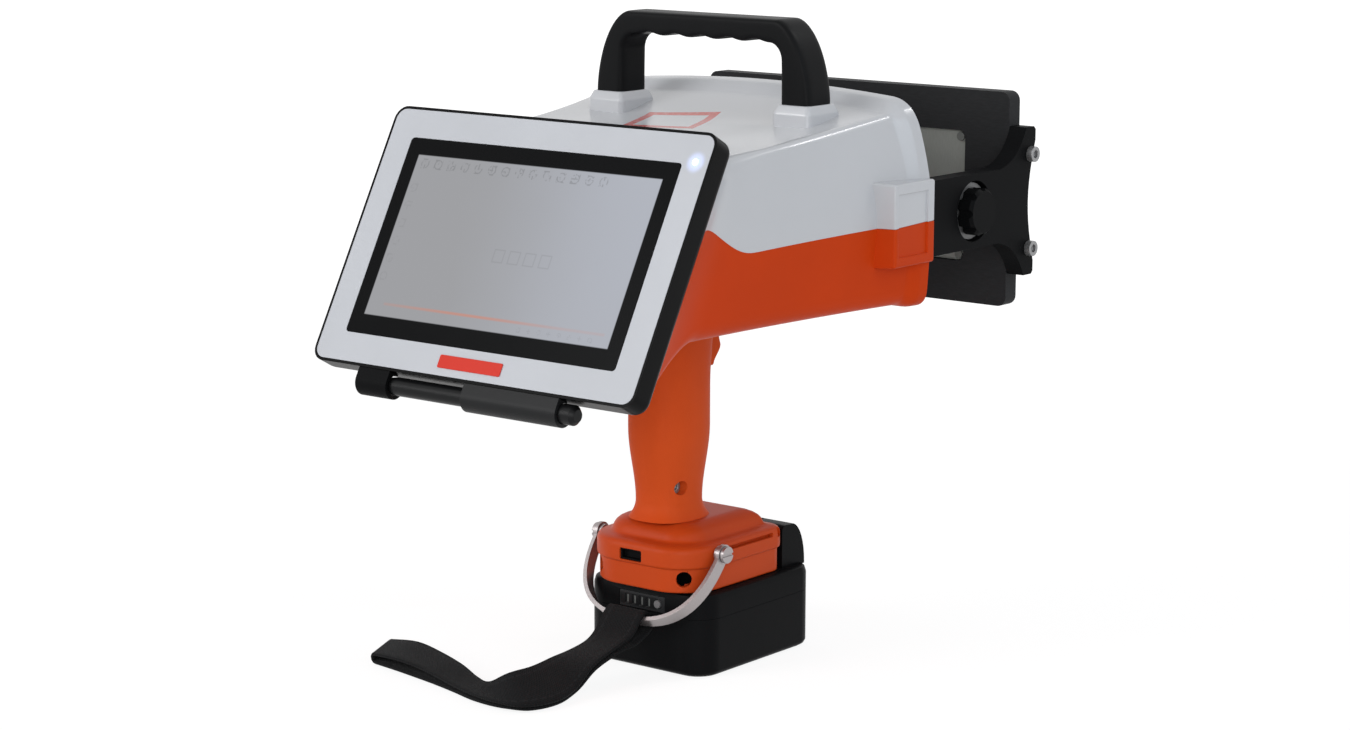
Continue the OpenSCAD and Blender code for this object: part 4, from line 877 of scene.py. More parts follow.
@dataclass(frozen=True)
class LitBezel(Finish):
    """White bezel with the soft glow of its lamp in one corner."""

    name: str
    colour: Colour
    lamp: Point
    turn: float
    reach: float = 0.0068
    glow: Colour = (0.36, 0.48, 1.0)
    shade: float = 0.03
    pitch: float = 1500.0
    cloud_scale: float = 12.0

    def inputs(self, graph: Graph) -> dict[str, Any]:
        """Works out the shader's inputs.

        Args:
            graph: Graph of the new material.

        Returns:
            Values by the names of the shader's sockets.
        """
        spot = graph.place(self.lamp, (self.turn, 0, 0))
        x, y, _ = graph.axes(spot)
        halo = (x * x + y * y).step(self.reach ** 2, 0.0)
        fine = graph.noise(spot, self.pitch, 2.0)
        cloud = graph.noise(spot, self.cloud_scale, 3.0)
        return {
            "Base Color": graph.vary(cloud.step(0.3, 0.7), self.colour, self.shade),
            "Roughness": 0.36 + (fine - 0.5) * 0.08 + cloud * 0.05,
            "Emission Color": graph.blend(halo * halo, (0, 0, 0), self.glow),
            "Emission Strength": 0.6, "Specular IOR Level": 0.4,
            "Normal": graph.bump(fine, 0.06),
        }


@dataclass(frozen=True)
class Lens(Finish):
    """Lit lamp lens with a bright middle."""

    name: str
    lamp: Point
    turn: float
    radius: float = 0.0022

    def inputs(self, graph: Graph) -> dict[str, Any]:
        """Works out the shader's inputs.

        Args:
            graph: Graph of the new material.

        Returns:
            Values by the names of the shader's sockets.
        """
        x, y, _ = graph.axes(graph.place(self.lamp, (self.turn, 0, 0)))
        middle = (x * x + y * y).step(self.radius ** 2, 0.0)
        return {
            "Base Color": graph.blend(middle, (0.55, 0.62, 0.75), (0.9, 0.94, 1.0)),
            "Emission Color": graph.blend(middle, (0.25, 0.36, 0.62), (0.9, 0.95, 1.0)),
            "Roughness": 0.18, "Emission Strength": 0.9,
        }


@dataclass(frozen=True)
class Wrapped(Finish):
    """Battery cell in shrink wrap with long folds."""

    name: str
    colour: Colour
    shade: float = 0.2
    fold_scale: float = 70.0
    fold_lay: Point = (1, 4, 1)

    def inputs(self, graph: Graph) -> dict[str, Any]:
        """Works out the shader's inputs.

        Args:
            graph: Graph of the new material.

        Returns:
            Values by the names of the shader's sockets.
        """
        # Painted shade and painted highlight: the wrap's colour follows the folds' height, darker
        # in their dips and lighter on their ridges.
        folds = graph.noise(graph.stretch(graph.place(), self.fold_lay), self.fold_scale, 4.0)
        return {
            "Base Color": graph.vary(folds, self.colour, self.shade),
            "Roughness": 0.28 + folds * 0.12, "Normal": graph.bump(folds, 0.1, 0.0003),
        }


class Palette:
    """Finishes of this machine."""

    WHITE = Printed("white_shell", (0.522, 0.531, 0.556), 0.24, 0.02, 0.012, 0.015, 0.4, 1400.0,
                    coat=0.3)
    ORANGE = Moulded("orange_shell", (0.56, 0.047, 0.004), 0.42, 0.12, 0.04, 0.05, 0.07, 1700.0)
    GRIP = Moulded("orange_grip", (0.66, 0.084, 0.0125), 0.55, 0.38, 0.04, 0.05, 0.1)
    FOOT = Moulded("orange_foot", (0.53, 0.060, 0.0085), 0.42, 0.14, 0.04, 0.05, 0.13, 1700.0)
    BLACK = Moulded("black_moulding", (0.0045, 0.0047, 0.0051), 0.48, 0.22, 0.08, 0.1, 0.035)
    HANDLE = Moulded("black_handle", (0.0080, 0.0082, 0.0088), 0.4, 0.2, 0.08, 0.08, 0.05, 1400.0)
    TUB = Moulded("black_tub", (0.0030, 0.0031, 0.0034), 0.3, 0.12, 0.08, 0.08, 0.06)
    CASE = Moulded("battery_black", (0.0040, 0.0042, 0.0047), 0.4, 0.2, 0.1, 0.1, 0.045)
    CLIP = Moulded("clip_black", (0.0095, 0.0098, 0.0105), 0.42, 0.15, 0.08, 0.08, 0.16)
    BUTTON = Moulded("button_black", (0.010, 0.010, 0.011), 0.42, 0.16, 0.08, 0.08, 0.1)
    GREY = Moulded("grey_button", (0.16, 0.16, 0.165), 0.42, 0.14, 0.05, 0.06, 0.3)
    RED = Moulded("red_inlay", (0.60, 0.036, 0.021), 0.36, 0.04, 0.03, 0.03, 0.12, 1400.0)
    PEN = Moulded("pen_black", (0.0068, 0.0070, 0.0076), 0.34, 0.1, 0.08, 0.08, 0.14)
    PEN_TIP = Moulded("pen_tip_grey", (0.12, 0.12, 0.125), 0.5, 0.12, 0.06, 0.06, 0.3)
    SLATE = Moulded("display_module", (0.12, 0.12, 0.13), 0.45, 0.08, 0.05, 0.05)
    PLATE = Metal("plate_black", (0.0270, 0.0275, 0.0290), 0.5, 0.02, (1, 1, 6), 0.06, 0.1, 0.1,
                  specular=0.05)
    ARM = Metal("arm_black", (0.0046, 0.0048, 0.0053), 0.45, 0.02, (1, 6, 1), 0.06, 0.12, 0.1, 0.03)
    SHEET = Metal("sheet_grey", (0.275, 0.287, 0.268), 0.55, 0.1, (6, 1, 1), 0.06, 0.05, 0.08, 0.2)
    STEEL = Metal("steel_bright", (0.62, 0.62, 0.63), 0.26)
    BAIL = Metal("steel_strip", (0.39, 0.36, 0.36), 0.34, 0.85, (1, 6, 6), 0.06, 0.06, 0.12)
    BOLT = Metal("bolt_zinc", (0.30, 0.30, 0.305), 0.4, 0.8)
    WASHER = Metal("washer_zinc", (0.17, 0.17, 0.172), 0.45, 0.7)
    DULL = Metal("screw_dull", (0.15, 0.155, 0.147), 0.5, 0.3, specular=0.2)
    FRAME = Metal("milled_frame", (0.50, 0.51, 0.53), 0.36)
    MOTOR = Metal("coated_motor", (0.02, 0.02, 0.022), 0.4, 0.4, specular=0.2)
    BRONZE = Metal("turned_bronze", (0.55, 0.38, 0.16), 0.3)
    BLADE = Metal("plated_blade", (0.62, 0.5, 0.28), 0.24)
    GREEN = Board("circuit_board")
    CELL = Wrapped("cell_wrap", (0.05, 0.14, 0.36))
    STRAP = Webbing("strap_webbing", (0.0078, 0.0081, 0.0087))


@dataclass
class Bench:
    """Turns forms into pieces of the frame and dresses carried-over nodes."""

    crease: float = 38.0
    weld: float = 0.002
    flat: float = 0.6

    def place(self, form: Form, name: str, body: Body, slot: Slot, finish: Finish,
              stands_for: Iterable[str] = (), even: bool = True,
              bend: Sequence[Sequence[float]] = ()) -> bpy.types.Object:
        """Makes a piece out of a form.

        Args:
            form: Shape in millimetres, which is used up.
            name: Name of the piece.
            body: Body that it rides on.
            slot: Slot of the record; not used.
            finish: Finish of its surface.
            stands_for: Nodes that it replaces.
            even: Keeps flat faces flat beside their rounded edges.
            bend: Two points in millimetres. When they are given, the piece is baked where it stands
            instead of riding on its body.

        Returns:
            The piece's object.
        """
        bmesh.ops.scale(form.mesh, vec=(MM, MM, MM), verts=form.mesh.verts)
        mesh = bpy.data.meshes.new(name)
        form.mesh.to_mesh(mesh)
        form.mesh.free()
        mesh.shade_smooth()
        mesh.set_sharp_from_angle(angle=math.radians(self.crease))
        piece = bpy.data.objects.new(name, mesh)
        bpy.context.scene.collection.objects.link(piece)
        mesh.materials.append(finish.material())
        if even:
            normals = piece.modifiers.new("even_faces", "WEIGHTED_NORMAL")
            normals.keep_sharp = True
        if bend:
            start, end = (Vector(point) * MM for point in bend)
            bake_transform(piece)
        else:
            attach(piece, body.value)
        if stands_for:
            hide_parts(*stands_for)
        LOG.info("made %s on %s: %d faces", name, body.value, len(mesh.polygons))
        return piece

    def copy_of(self, node: str) -> Form:
        """Copies a node's mesh.

        Args:
            node: Name of the node.

        Returns:
            Its shape in millimetres, merged and with whole flat faces.
        """
        form = Form()
        form.mesh.from_mesh(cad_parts[node].data)
        bmesh.ops.scale(form.mesh, vec=(1 / MM,) * 3, verts=form.mesh.verts)
        bmesh.ops.remove_doubles(form.mesh, verts=form.mesh.verts, dist=self.weld)
        bmesh.ops.dissolve_limit(form.mesh, angle_limit=math.radians(self.flat),
                                 verts=form.mesh.verts, edges=form.mesh.edges,
                                 use_dissolve_boundaries=False)
        return form

    def rounded(self, node: str, body: Body, slot: Slot, finish: Finish, width: float = 0.4,
                segments: int = 2, angle: float = 32.0) -> None:
        """Replaces a node by its own shape with rounded edges."""
        form = self.copy_of(node).soften(width, segments, angle)
        self.place(form, node + "_dressed", body, slot, finish, (node,))

    def fit(self, *rows: Sequence[Any]) -> None:
        """Rounds several nodes, with the values of rounded() in each row."""
        for row in rows:
            self.rounded(*row)

    def dress(self, finish: Finish, *nodes: str) -> None:
        """Gives carried-over nodes a finish.

        Args:
            finish: Finish of their surface.
            nodes: Names of the nodes.
        """
        for node in nodes:
            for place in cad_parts[node].material_slots:
                place.material = finish.material()
            LOG.info("dressed %s", node)


@dataclass(frozen=True)
class SoftBox:
    """A rectangular lamp."""

    name: str
    spot: Point
    size: Pair
    power: float
    colour: Colour = (1.0, 1.0, 1.0)

    def hang(self, aim: Point) -> None:
        """Hangs the lamp so that it points at a place.

        Args:
            aim: Place that it points at.
        """
        data = bpy.data.lights.new(self.name, "AREA")
        data.shape, data.energy, data.color = "RECTANGLE", self.power, self.colour
        data.size, data.size_y = self.size
        lamp = bpy.data.objects.new(self.name, data)
        lamp.location = self.spot
        line = Vector(aim) - Vector(self.spot)
        lamp.rotation_euler = line.to_track_quat("-Z", "Y").to_euler()
        bpy.context.scene.collection.objects.link(lamp)


@dataclass
class Studio:
    """Camera, floor and soft light."""

    azimuth: float = 38.5
    elevation: float = 10.5
    roll: float = 0.15
    lens: float = 83.2
    sensor: float = 36.0
    clip: Pair = (0.01, 50.0)
    eye: Point = (0.9621, -1.2309, 0.4387)
    floor_size: float = 12.0
    paper: Pair = (0.78, 0.82)
    paper_scale: float = 240.0
    paper_glow: float = 1.16
    glow_share: float = 0.75
    shadow_reach: Pair = (0.5, 1.6)
    room_light: float = 0.46
    aim: Point = (0.0, -0.02, 0.18)
    lamps: tuple[SoftBox, ...] = (
        SoftBox("soft_key", (-1.0, -2.0, 1.1), (1.2, 1.2), 24.0),
        SoftBox("soft_fill", (1.2, -1.6, 0.6), (1.0, 1.0), 11.0),
        SoftBox("soft_side", (1.9, -0.1, 1.2), (1.2, 1.2), 5.5, (0.66, 0.84, 1.0)),
        SoftBox("strip_top", (0.86, 1.31, 1.70), (0.07, 0.5), 5.5),
    )

    def camera(self) -> None:
        """Sets the photograph's view."""
        az, el, roll = (math.radians(v) for v in (self.azimuth, self.elevation, self.roll))
        back = Vector((math.sin(az) * math.cos(el), -math.cos(az) * math.cos(el), math.sin(el)))
        right = Vector((math.cos(az), math.sin(az), 0.0))
        up = back.cross(right)
        across = right * math.cos(roll) + up * math.sin(roll)
        upright = up * math.cos(roll) - right * math.sin(roll)
        data = bpy.data.cameras.new("view")
        data.lens, data.sensor_width, data.sensor_fit = self.lens, self.sensor, "HORIZONTAL"
        data.clip_start, data.clip_end = self.clip
        camera = bpy.data.objects.new("view", data)
        turn = Matrix((across, upright, back)).transposed().to_4x4()
        camera.matrix_world = Matrix.Translation(Vector(self.eye)) @ turn
        bpy.context.scene.collection.objects.link(camera)
        bpy.context.scene.camera = camera
        bpy.context.scene.view_settings.view_transform = "Standard"

    def seen(self, graph: Graph) -> Value:
        """Mask of what the camera, a mirror or glass looks straight at.

        Args:
            graph: Graph of the floor or the world.

        Returns:
            1 on such rays, and 0 on others.
        """
        path = graph.tree.nodes.new("ShaderNodeLightPath")
        rays = [Value(graph, path.outputs[name])
                for name in ("Is Camera Ray", "Is Glossy Ray", "Is Transmission Ray")]
        return rays[0].larger(rays[1]).larger(rays[2])

    def floor(self) -> None:
        """Lays a white floor that keeps a light shadow near the object."""
        form = Form()
        bmesh.ops.create_grid(form.mesh, x_segments=2, y_segments=2, size=self.floor_size / 2)
        mesh = bpy.data.meshes.new("floor")
        form.mesh.to_mesh(mesh)
        form.mesh.free()
        floor = bpy.data.objects.new("floor", mesh)
        bpy.context.scene.collection.objects.link(floor)
        graph = Graph(bpy.data.materials.new("floor_paper"))
        spot = graph.place()
        grain = graph.noise(spot, self.paper_scale, 3.0)
        away = graph.node("ShaderNodeVectorMath", {"operation": "LENGTH"}, {0: spot}, "Value")
        paper = graph.blend(grain, *((tone, tone, tone) for tone in self.paper))
        matt = graph.node("ShaderNodeBsdfDiffuse", None, {"Color": paper})
        glow = graph.node("ShaderNodeEmission", None,
                          {"Color": (1, 1, 1), "Strength": self.paper_glow})
        far = away.step(*self.shadow_reach) * (1 - self.glow_share) + self.glow_share
        share = self.seen(graph) * far
        graph.end(graph.node("ShaderNodeMixShader", None, {0: share, 1: matt, 2: glow}))
        mesh.materials.append(graph.owner)

    def world(self) -> None:
        """Lights the room evenly, and shows it white."""
        world = bpy.data.worlds.new("room")
        bpy.context.scene.world = world
        graph = Graph(world)
        even, white = (graph.node("ShaderNodeBackground", None,
                                  {"Color": (1, 1, 1), "Strength": strength})
                       for strength in (self.room_light, 1.0))
        shown = graph.node("ShaderNodeMixShader", None, {0: self.seen(graph), 1: even, 2: white})
        graph.end(shown, "ShaderNodeOutputWorld")

    def build(self) -> None:
        """Sets up the whole studio."""
        self.camera()
        self.floor()
        self.world()
        for lamp in self.lamps:
            lamp.hang(self.aim)


@dataclass
class WristStrap:
    """Doubled band of webbing looped round the bail."""

    bench: Bench
    width: float = 24.0
    thick: float = 1.5
    loop_reach: Pair = (4.5, 6.4)
    bail_mid: Point = (0.0, -58.48, 27.89)
    after_bail: tuple[Point, ...] = ((0, -1.5, -1.4), (0, -9.5, -6.9))
    lying: tuple[Point, ...] = (
        (0, -78, 18), (-1, -94, 14), (-1, -109, 9.5), (1, -125, 8.5), (-3, -139, 8), (-15, -142, 5),
        (-31, -138, 4), (-49, -132, 5), (-70, -126, 5.5), (-91, -122, 6), (-112, -119, 4.5),
    )
    across: tuple[Point, ...] = (
        (1, 0, 0), (1, 0, .03), (.98, -.1, .1), (.95, -.25, -.05), (.9, -.1, -.4), (.85, 0, -.52),
        (.8, -.36, -.45), (.77, -.6, -.15), (.61, -.79, -.08), (.5, -.84, -.16), (.4, -.9, -.12),
        (.33, -.92, -.12), (.35, -.92, -.05),
    )
    apart: tuple[float, ...] = (5.2, 3, 1.6, 1.3, 1.3, 1.3, 1.3, 1.3, 1.3, 1.6, 2.6, 3, 2.2)
    bend: tuple[Point, ...] = ((0, -135, 0), (27.2, -80.6, 0))
    rim_x: tuple[float, ...] = (-1, -0.5, 0, 0.5, 1)
    edge_round: float = 0.35
    steps: int = 6
    end_steps: int = 5
    loop_steps: int = 6

    def route(self) -> Row:
        """Middle line of the band, point by point."""
        start = Vector(self.bail_mid)
        return [start + Vector(p) for p in self.after_bail] + [Vector(p) for p in self.lying]

    def spline(self, values: Sequence[Any]) -> list[Any]:
        """Runs a smooth curve through values, with more steps between them.

        Args:
            values: Numbers or vectors to pass through.

        Returns:
            The finer list.
        """
        last = len(values) - 1
        fine = []
        for i in range(last):
            a, b, c, d = (values[min(max(k, 0), last)] for k in (i - 1, i, i + 1, i + 2))
            for k in range(self.steps):
                t = k / self.steps
                fine.append(b + (c - a) * (0.5 * t) + (a * 2 - b * 5 + c * 4 - d) * (0.5 * t * t)
                            + (b * 3 - a - c * 3 + d) * (0.5 * t ** 3))
        return fine + [values[-1]]

    def run(self, line: Row) -> list[tuple[Vector, Vector, Vector]]:
        """Follows the band out along one layer and back along the other.

        Args:
            line: Middle line of both layers.

        Returns:
            Middle of the band at each step, its direction across and the way its outside faces.
        """
        wide = [v.normalized() for v in self.spline([Vector(v) for v in self.across])]
        gap = self.spline(list(self.apart))
        last = len(line) - 1
        steps = range(last + 1)
        along = [(line[min(i + 1, last)] - line[max(i - 1, 0)]).normalized() for i in steps]
        square = [wide[i].cross(along[i]).normalized() for i in steps]
        run = [(line[i] + square[i] * gap[i], wide[i], square[i]) for i in steps]
        for k in range(1, self.end_steps):
            angle = math.pi * k / self.end_steps
            swing = square[last] * math.cos(angle) + along[last] * math.sin(angle)
            run.append((line[last] + swing * gap[last], wide[last], swing))
        run += [(line[i] - square[i] * gap[i], wide[i], -square[i]) for i in reversed(steps)]
        side, bulge = self.loop_reach
        for k in range(self.loop_steps + 1):
            angle = math.pi * k / self.loop_steps
            swing = -square[0] * math.cos(angle) - along[0] * math.sin(angle)
            push = -along[0] * mix(side, bulge, math.sin(angle))
            spot = line[0] + push - square[0] * (gap[0] * math.cos(angle))
            run.append((spot, wide[0], swing))
        return run

    def build(self) -> None:
        """Weaves the band and lays it out."""
        line = self.spline(self.route())
        run = self.run(line)
        half, half_thick = self.width / 2, self.thick / 2
        rim = [(u, -1) for u in self.rim_x] + [(u, 1) for u in reversed(self.rim_x)]
        rows = [[p + w * (u * half) + out * (v * half_thick) for u, v in rim] for p, w, out in run]
        length = [0.0]
        for a, b in zip(run, run[1:]):
            length.append(length[-1] + (b[0] - a[0]).length)

        def lay(row: int, place: int) -> Vector:
            """Length along the band, place across it and side of a point."""
            u, v = rim[place]
            return Vector((length[row % len(run)] * MM, u * half * MM, v))

        form = Form().loft(rows + rows[:1], looped=True, marks=lay)
        form.soften(self.edge_round, 2, 50.0)
        strap = self.bench.place(form, "wrist_strap", Body.BAIL, Slot.STRAP, Palette.STRAP,
                                 ("hand_strap",), False, self.bend)
        path = [tuple(p * MM) for p in line[::2]]
        total = sum((Vector(b) - Vector(a)).length for a, b in zip(path, path[1:]))
        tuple(path[0])


@dataclass
class Shell:
    """White cover over an orange housing, waisted behind a raised front brim.

    A section's place along the body is t, from 0 at the front to 1 at the display.
    """

    bench: Bench
    front_y: float = 45.0
    length: float = 175.47
    floor_z: float = 186.0
    axis_z: float = 228.5
    widths: Point = (215.0, 182.0, 193.0)
    waist: float = 0.84
    waist_powers: Pair = (1.6, 2.0)
    tapers: Pair = (3.0, 13.0)
    shoulders: Pair = (96.75, 83.5)
    shoulder_power: float = 1.9
    shoulder_pull: float = 0.5
    side_power: float = 1.8
    crown: float = 5.0
    crown_end: float = 0.3
    dish: float = 2.0
    floor_drop: float = 23.0
    drop_power: float = 1.6
    wall: float = 3.0
    edge_r: Point = (4.0, 13.0, 6.0)
    floor_r: float = 9.0
    seam: Point = (42.5, 4.0, 15.0)
    seam_t: Point = (0.68, 0.7, 0.27)
    lip: tuple[float, float, float, float] = (14.0, 2.0, 4.25, 1.5)
    lip_flat: float = 5.0
    fade_from: float = 0.6
    lean_from: float = 0.15
    lean_power: float = 1.5
    display_z: float = 225.3
    display_tilt: float = 28.5
    cover_steps: tuple[int, int, int] = (12, 14, 12)
    housing_steps: tuple[int, int, int] = (10, 10, 8)
    station_steps: tuple[int, int, int] = (3, 14, 60)
    boss_x: Pair = (95.0, 111.05)
    boss_half: Pair = (21.5, 20.5)
    boss_y: Pair = (7.0, 11.0)
    boss_root: float = 8.0
    boss_round: float = 1.2
    seam_clear: float = 8.0
    root_clear: float = 6.0
    pocket: tuple[float, float, float, float] = (90.45, 108.05, 12.0, 19.3)
    panel: Point = (14.0, 39.0, 15.5)
    panel_sunk: float = 1.0
    clear: float = 2.0
    pad_at: Pair = (58.85, 7.5)
    pad_size: Pair = (19.3, 23.0)
    pad_corner: float = 2.2
    pad_profile: tuple[Pair, ...] = (
        (14, 2.0), (5.0, 2.0), (4.3, 1.95), (3.6, 1.75), (1.0, 0.45), (0.5, 0.2), (0.15, -0.15),
        (0.0, -0.5),
    )

    def raised(self, t: float) -> float:
        """How far the front brim stands up at t."""
        rise = (t * self.length - self.lip_flat) / (self.lip[0] - self.lip_flat)
        return 1 - ease(clamp01(rise))

    def faded(self, t: float) -> float:
        """How near a section is to the display, from 0 to 1."""
        return ease(clamp01((t - self.fade_from) / (1 - self.fade_from)))

    def lean(self, t: float) -> float:
        """How much a section leans back to meet the display."""
        share = clamp01((t - self.lean_from) / (1 - self.lean_from))
        return math.tan(math.radians(self.display_tilt)) * share ** self.lean_power

    def half_mid(self, t: float) -> float:
        """Half width at the height of the arms.

        Args:
            t: Place of the section.

        Returns:
            The half width.
        """
        front, waist, rear = self.widths
        before, after = self.waist_powers
        if t < self.waist:
            width = mix(front, waist, 1 - (1 - t / self.waist) ** before)
        else:
            width = mix(waist, rear, ((t - self.waist) / (1 - self.waist)) ** after)
        return self.lip[1] * self.raised(t) + width / 2

    def half_low(self, t: float) -> float:
        """Half width at the floor."""
        return self.half_mid(t) - mix(self.tapers[0], 1, t)

    def half_top(self, t: float) -> float:
        """Half width at the shoulder."""
        return self.half_mid(t) - mix(self.tapers[1], 1, t * t)

    def top_z(self, t: float) -> float:
        """Height of the shoulder."""
        fall = 1 - (1 - t) ** self.shoulder_power
        return self.floor_z + self.lip[2] * self.raised(t) + mix(*self.shoulders, fall)

    def low_z(self, t: float) -> float:
        """Height of the floor."""
        drop = self.floor_drop * clamp01((t - self.waist) / (1 - self.waist)) ** self.drop_power
        return self.floor_z - self.lip[3] * self.raised(t) - drop

    def roof_z(self, t: float, x: float) -> float:
        """Height of the roof across the width.

        Args:
            t: Place of the section.
            x: Distance from the middle.

        Returns:
            The height.
        """
        sunk = -self.dish * (1 - self.faded(t))
        rise = mix(self.crown, sunk, ease(clamp01(t / self.crown_end)))
        return self.top_z(t) + rise * (1 - (x / self.half_top(t)) ** 2)

    def seam_z(self, t: float) -> float:
        """Height of the seam between the two shells.

        Args:
            t: Place of the section.

        Returns:
            The height.
        """
        (high, fall, rise), (low_t, turn_t, span) = self.seam, self.seam_t
        climb = ease(clamp01((t - turn_t) / span))
        return self.floor_z + high - fall * min(1, t / low_t) + rise * climb

    def side_x(self, t: float, z: float) -> float:
        """Half width at any height.

        Args:
            t: Place of the section.
            z: Height.

        Returns:
            The half width.
        """
        middle = self.half_mid(t)
        if z > self.axis_z:
            up = (z - self.axis_z) / (self.top_z(t) - self.axis_z)
            return mix(middle, self.half_top(t), up ** self.side_power)
        return mix(middle, self.half_low(t), (self.axis_z - z) / (self.axis_z - self.low_z(t)))

    def side_points(self, t: float, inset: float, start: float, end: float,
                    steps: int) -> list[Vector]:
        """Points along the side from one height to another, without the last one."""
        heights = (mix(start, end, i / steps) for i in range(steps))
        return [Vector((self.side_x(t, z) - inset, z)) for z in heights]

    def upper_half(self, t: float, inset: float) -> list[Vector]:
        """Half section of the cover, from the seam to the middle of the roof.

        Args:
            t: Place of the section.
            inset: Distance in from the outside.

        Returns:
            Points of the half section.
        """
        sides, corner, roof = self.cover_steps
        edge, rim, rear = self.edge_r
        r = mix(edge, rim, self.raised(t)) + rear * self.faded(t)
        top, w = self.top_z(t), self.half_top(t)
        a = Vector((self.side_x(t, top - r) - inset, top - r))
        b = Vector((w - inset, top + self.shoulder_pull - inset))
        c = Vector((w - r, self.roof_z(t, w - r) - inset))
        across = ((w - r) * (1 - i / roof) for i in range(1, roof + 1))
        return (self.side_points(t, inset, self.seam_z(t), top - r, sides)
                + [bezier(a, b, c, i / corner) for i in range(corner + 1)]
                + [Vector((x, self.roof_z(t, x) - inset)) for x in across])

    def lower_half(self, t: float, inset: float) -> list[Vector]:
        """Half section of the housing, from the seam to the middle of the floor.

        Args:
            t: Place of the section.
            inset: Distance in from the outside.

        Returns:
            Points of the half section.
        """
        sides, corner, floor = self.housing_steps
        low, r, w = self.low_z(t), self.floor_r, self.half_low(t)
        a = Vector((self.side_x(t, low + r) - inset, low + r))
        b = Vector((w - inset, low + inset))
        c = Vector((w - r, low + inset))
        across = ((w - r) * (1 - i / floor) for i in range(1, floor + 1))
        return (self.side_points(t, inset, self.seam_z(t), low + r, sides)
                + [bezier(a, b, c, i / corner) for i in range(corner + 1)]
                + [Vector((x, low + inset)) for x in across])

    def stand(self, t: float, point: Vector) -> Vector:
        """Puts a point of a section in its leaning place."""
        y = self.front_y - self.length * t + (point[1] - self.display_z) * self.lean(t)
        return Vector((point[0], y, point[1]))

    def ring(self, t: float, half: Callable[[float, float], list[Vector]]) -> Row:
        """Closed section of a wall, out along the outside and back along the inside.

        Args:
            t: Place of the section.
            half: Gives the half section at a place and an inset.

        Returns:
            Points of the section.
        """
        both = []
        for side in (half(t, 0.0), half(t, self.wall)):
            row = side + [Vector((-p[0], p[1])) for p in reversed(side[:-1])]
            both.append([self.stand(t, p) for p in row])
        return both[0] + both[1][::-1]

    def stations(self) -> list[float]:
        """Places of the sections, closer together at the brim.

        Returns:
            Places from the front to the display.
        """
        flat, brim = self.lip_flat / self.length, self.lip[0] / self.length
        front, slope, rest = self.station_steps
        return ([flat * i / front for i in range(front)]
                + [mix(flat, brim, i / slope) for i in range(slope)]
                + [mix(brim, 1.0, i / rest) for i in range(rest + 1)])

    def boss(self, up: int) -> Form:
        """One half of a side boss with its slot and its sunk panel.

        Args:
            up: 1 for the cover's half, and -1 for the housing's half.

        Returns:
            The half on the right.
        """
        (inner, outer), (start, flat) = self.boss_x, self.boss_y
        wide, slim = self.boss_half
        rings = []
        for x, rear, edge in ((inner - self.boss_root, start, wide), (inner, start, wide),
                              (outer, flat, slim)):
            t = (self.front_y - rear) / self.length
            top = self.axis_z + up * edge
            rings.append([Vector((x, rear, self.seam_z(t))),
                          Vector((x, self.front_y, self.seam_z(0))),
                          Vector((x, self.front_y, top)), Vector((x, rear, top))])
        form = Form().loft(rings)

        def outside(p: Vector) -> bool:
            """Says whether an edge is away from the seam and the root."""
            return abs(p[2] - self.axis_z) > self.seam_clear and p[0] > inner - self.root_clear

        form.soften(self.boss_round, 3, 20.0, outside)
        y0, y1, half = self.panel
        form.cut(Form().box((outer - self.panel_sunk, y0, self.axis_z - half),
                            (outer + self.clear, y1, self.axis_z + half)))
        return form.cut(self.pocket_tool())

    def pocket_tool(self) -> Form:
        """Space that the arm slides in."""
        x0, x1, y0, half = self.pocket
        return Form().box((x0, y0, self.axis_z - half),
                          (x1, self.front_y + self.clear, self.axis_z + half))

    def pad(self) -> Form:
        """White block that carries one leg of the handle.

        Returns:
            The block on the right.
        """
        x, y = self.pad_at
        wide, deep = self.pad_size
        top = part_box("carry_handle")[0][2] / MM
        rows = []
        for down, grow in self.pad_profile:
            corner, reach = self.pad_corner + grow / 2, deep / 2 + grow
            outline = round_box(wide + 2 * grow, y - reach, y + reach, corner, corner)
            rows.append([Vector((p[0] + x, p[1], top - down)) for p in outline])
        return Form().loft(rows)

    def build(self) -> None:
        """Makes both shells and what closes them."""
        halves = (
            ("cover_white", 1, self.upper_half, Slot.WHITE, Palette.WHITE, "upper_cover"),
            ("housing_orange", -1, self.lower_half, Slot.ORANGE, Palette.ORANGE, "lower_housing"),
        )
        for name, up, half, slot, finish, node in halves:
            shell = Form().loft([self.ring(t, half) for t in self.stations()])
            for side in (1, -1):
                tool = self.pocket_tool()
                bmesh.ops.scale(tool.mesh, vec=(side, 1, 1), verts=tool.mesh.verts)
                shell.cut(tool.settle())
            shell.soften(0.5, 2, 40.0)
            shell.merge(self.boss(up).soften(0.4, 2, 40.0).mirrored())
            if up > 0:
                shell.merge(self.pad().mirrored())
            self.bench.place(shell, name, Body.HOUSING, slot, finish, (node,))
        self.bench.fit(("front_panel", Body.HOUSING, Slot.BLACK, Palette.BLACK, 0.5),
                       ("case_screws", Body.HOUSING, Slot.STEEL, Palette.STEEL, 0.3))
        self.bench.dress(Palette.GREEN, "main_board")


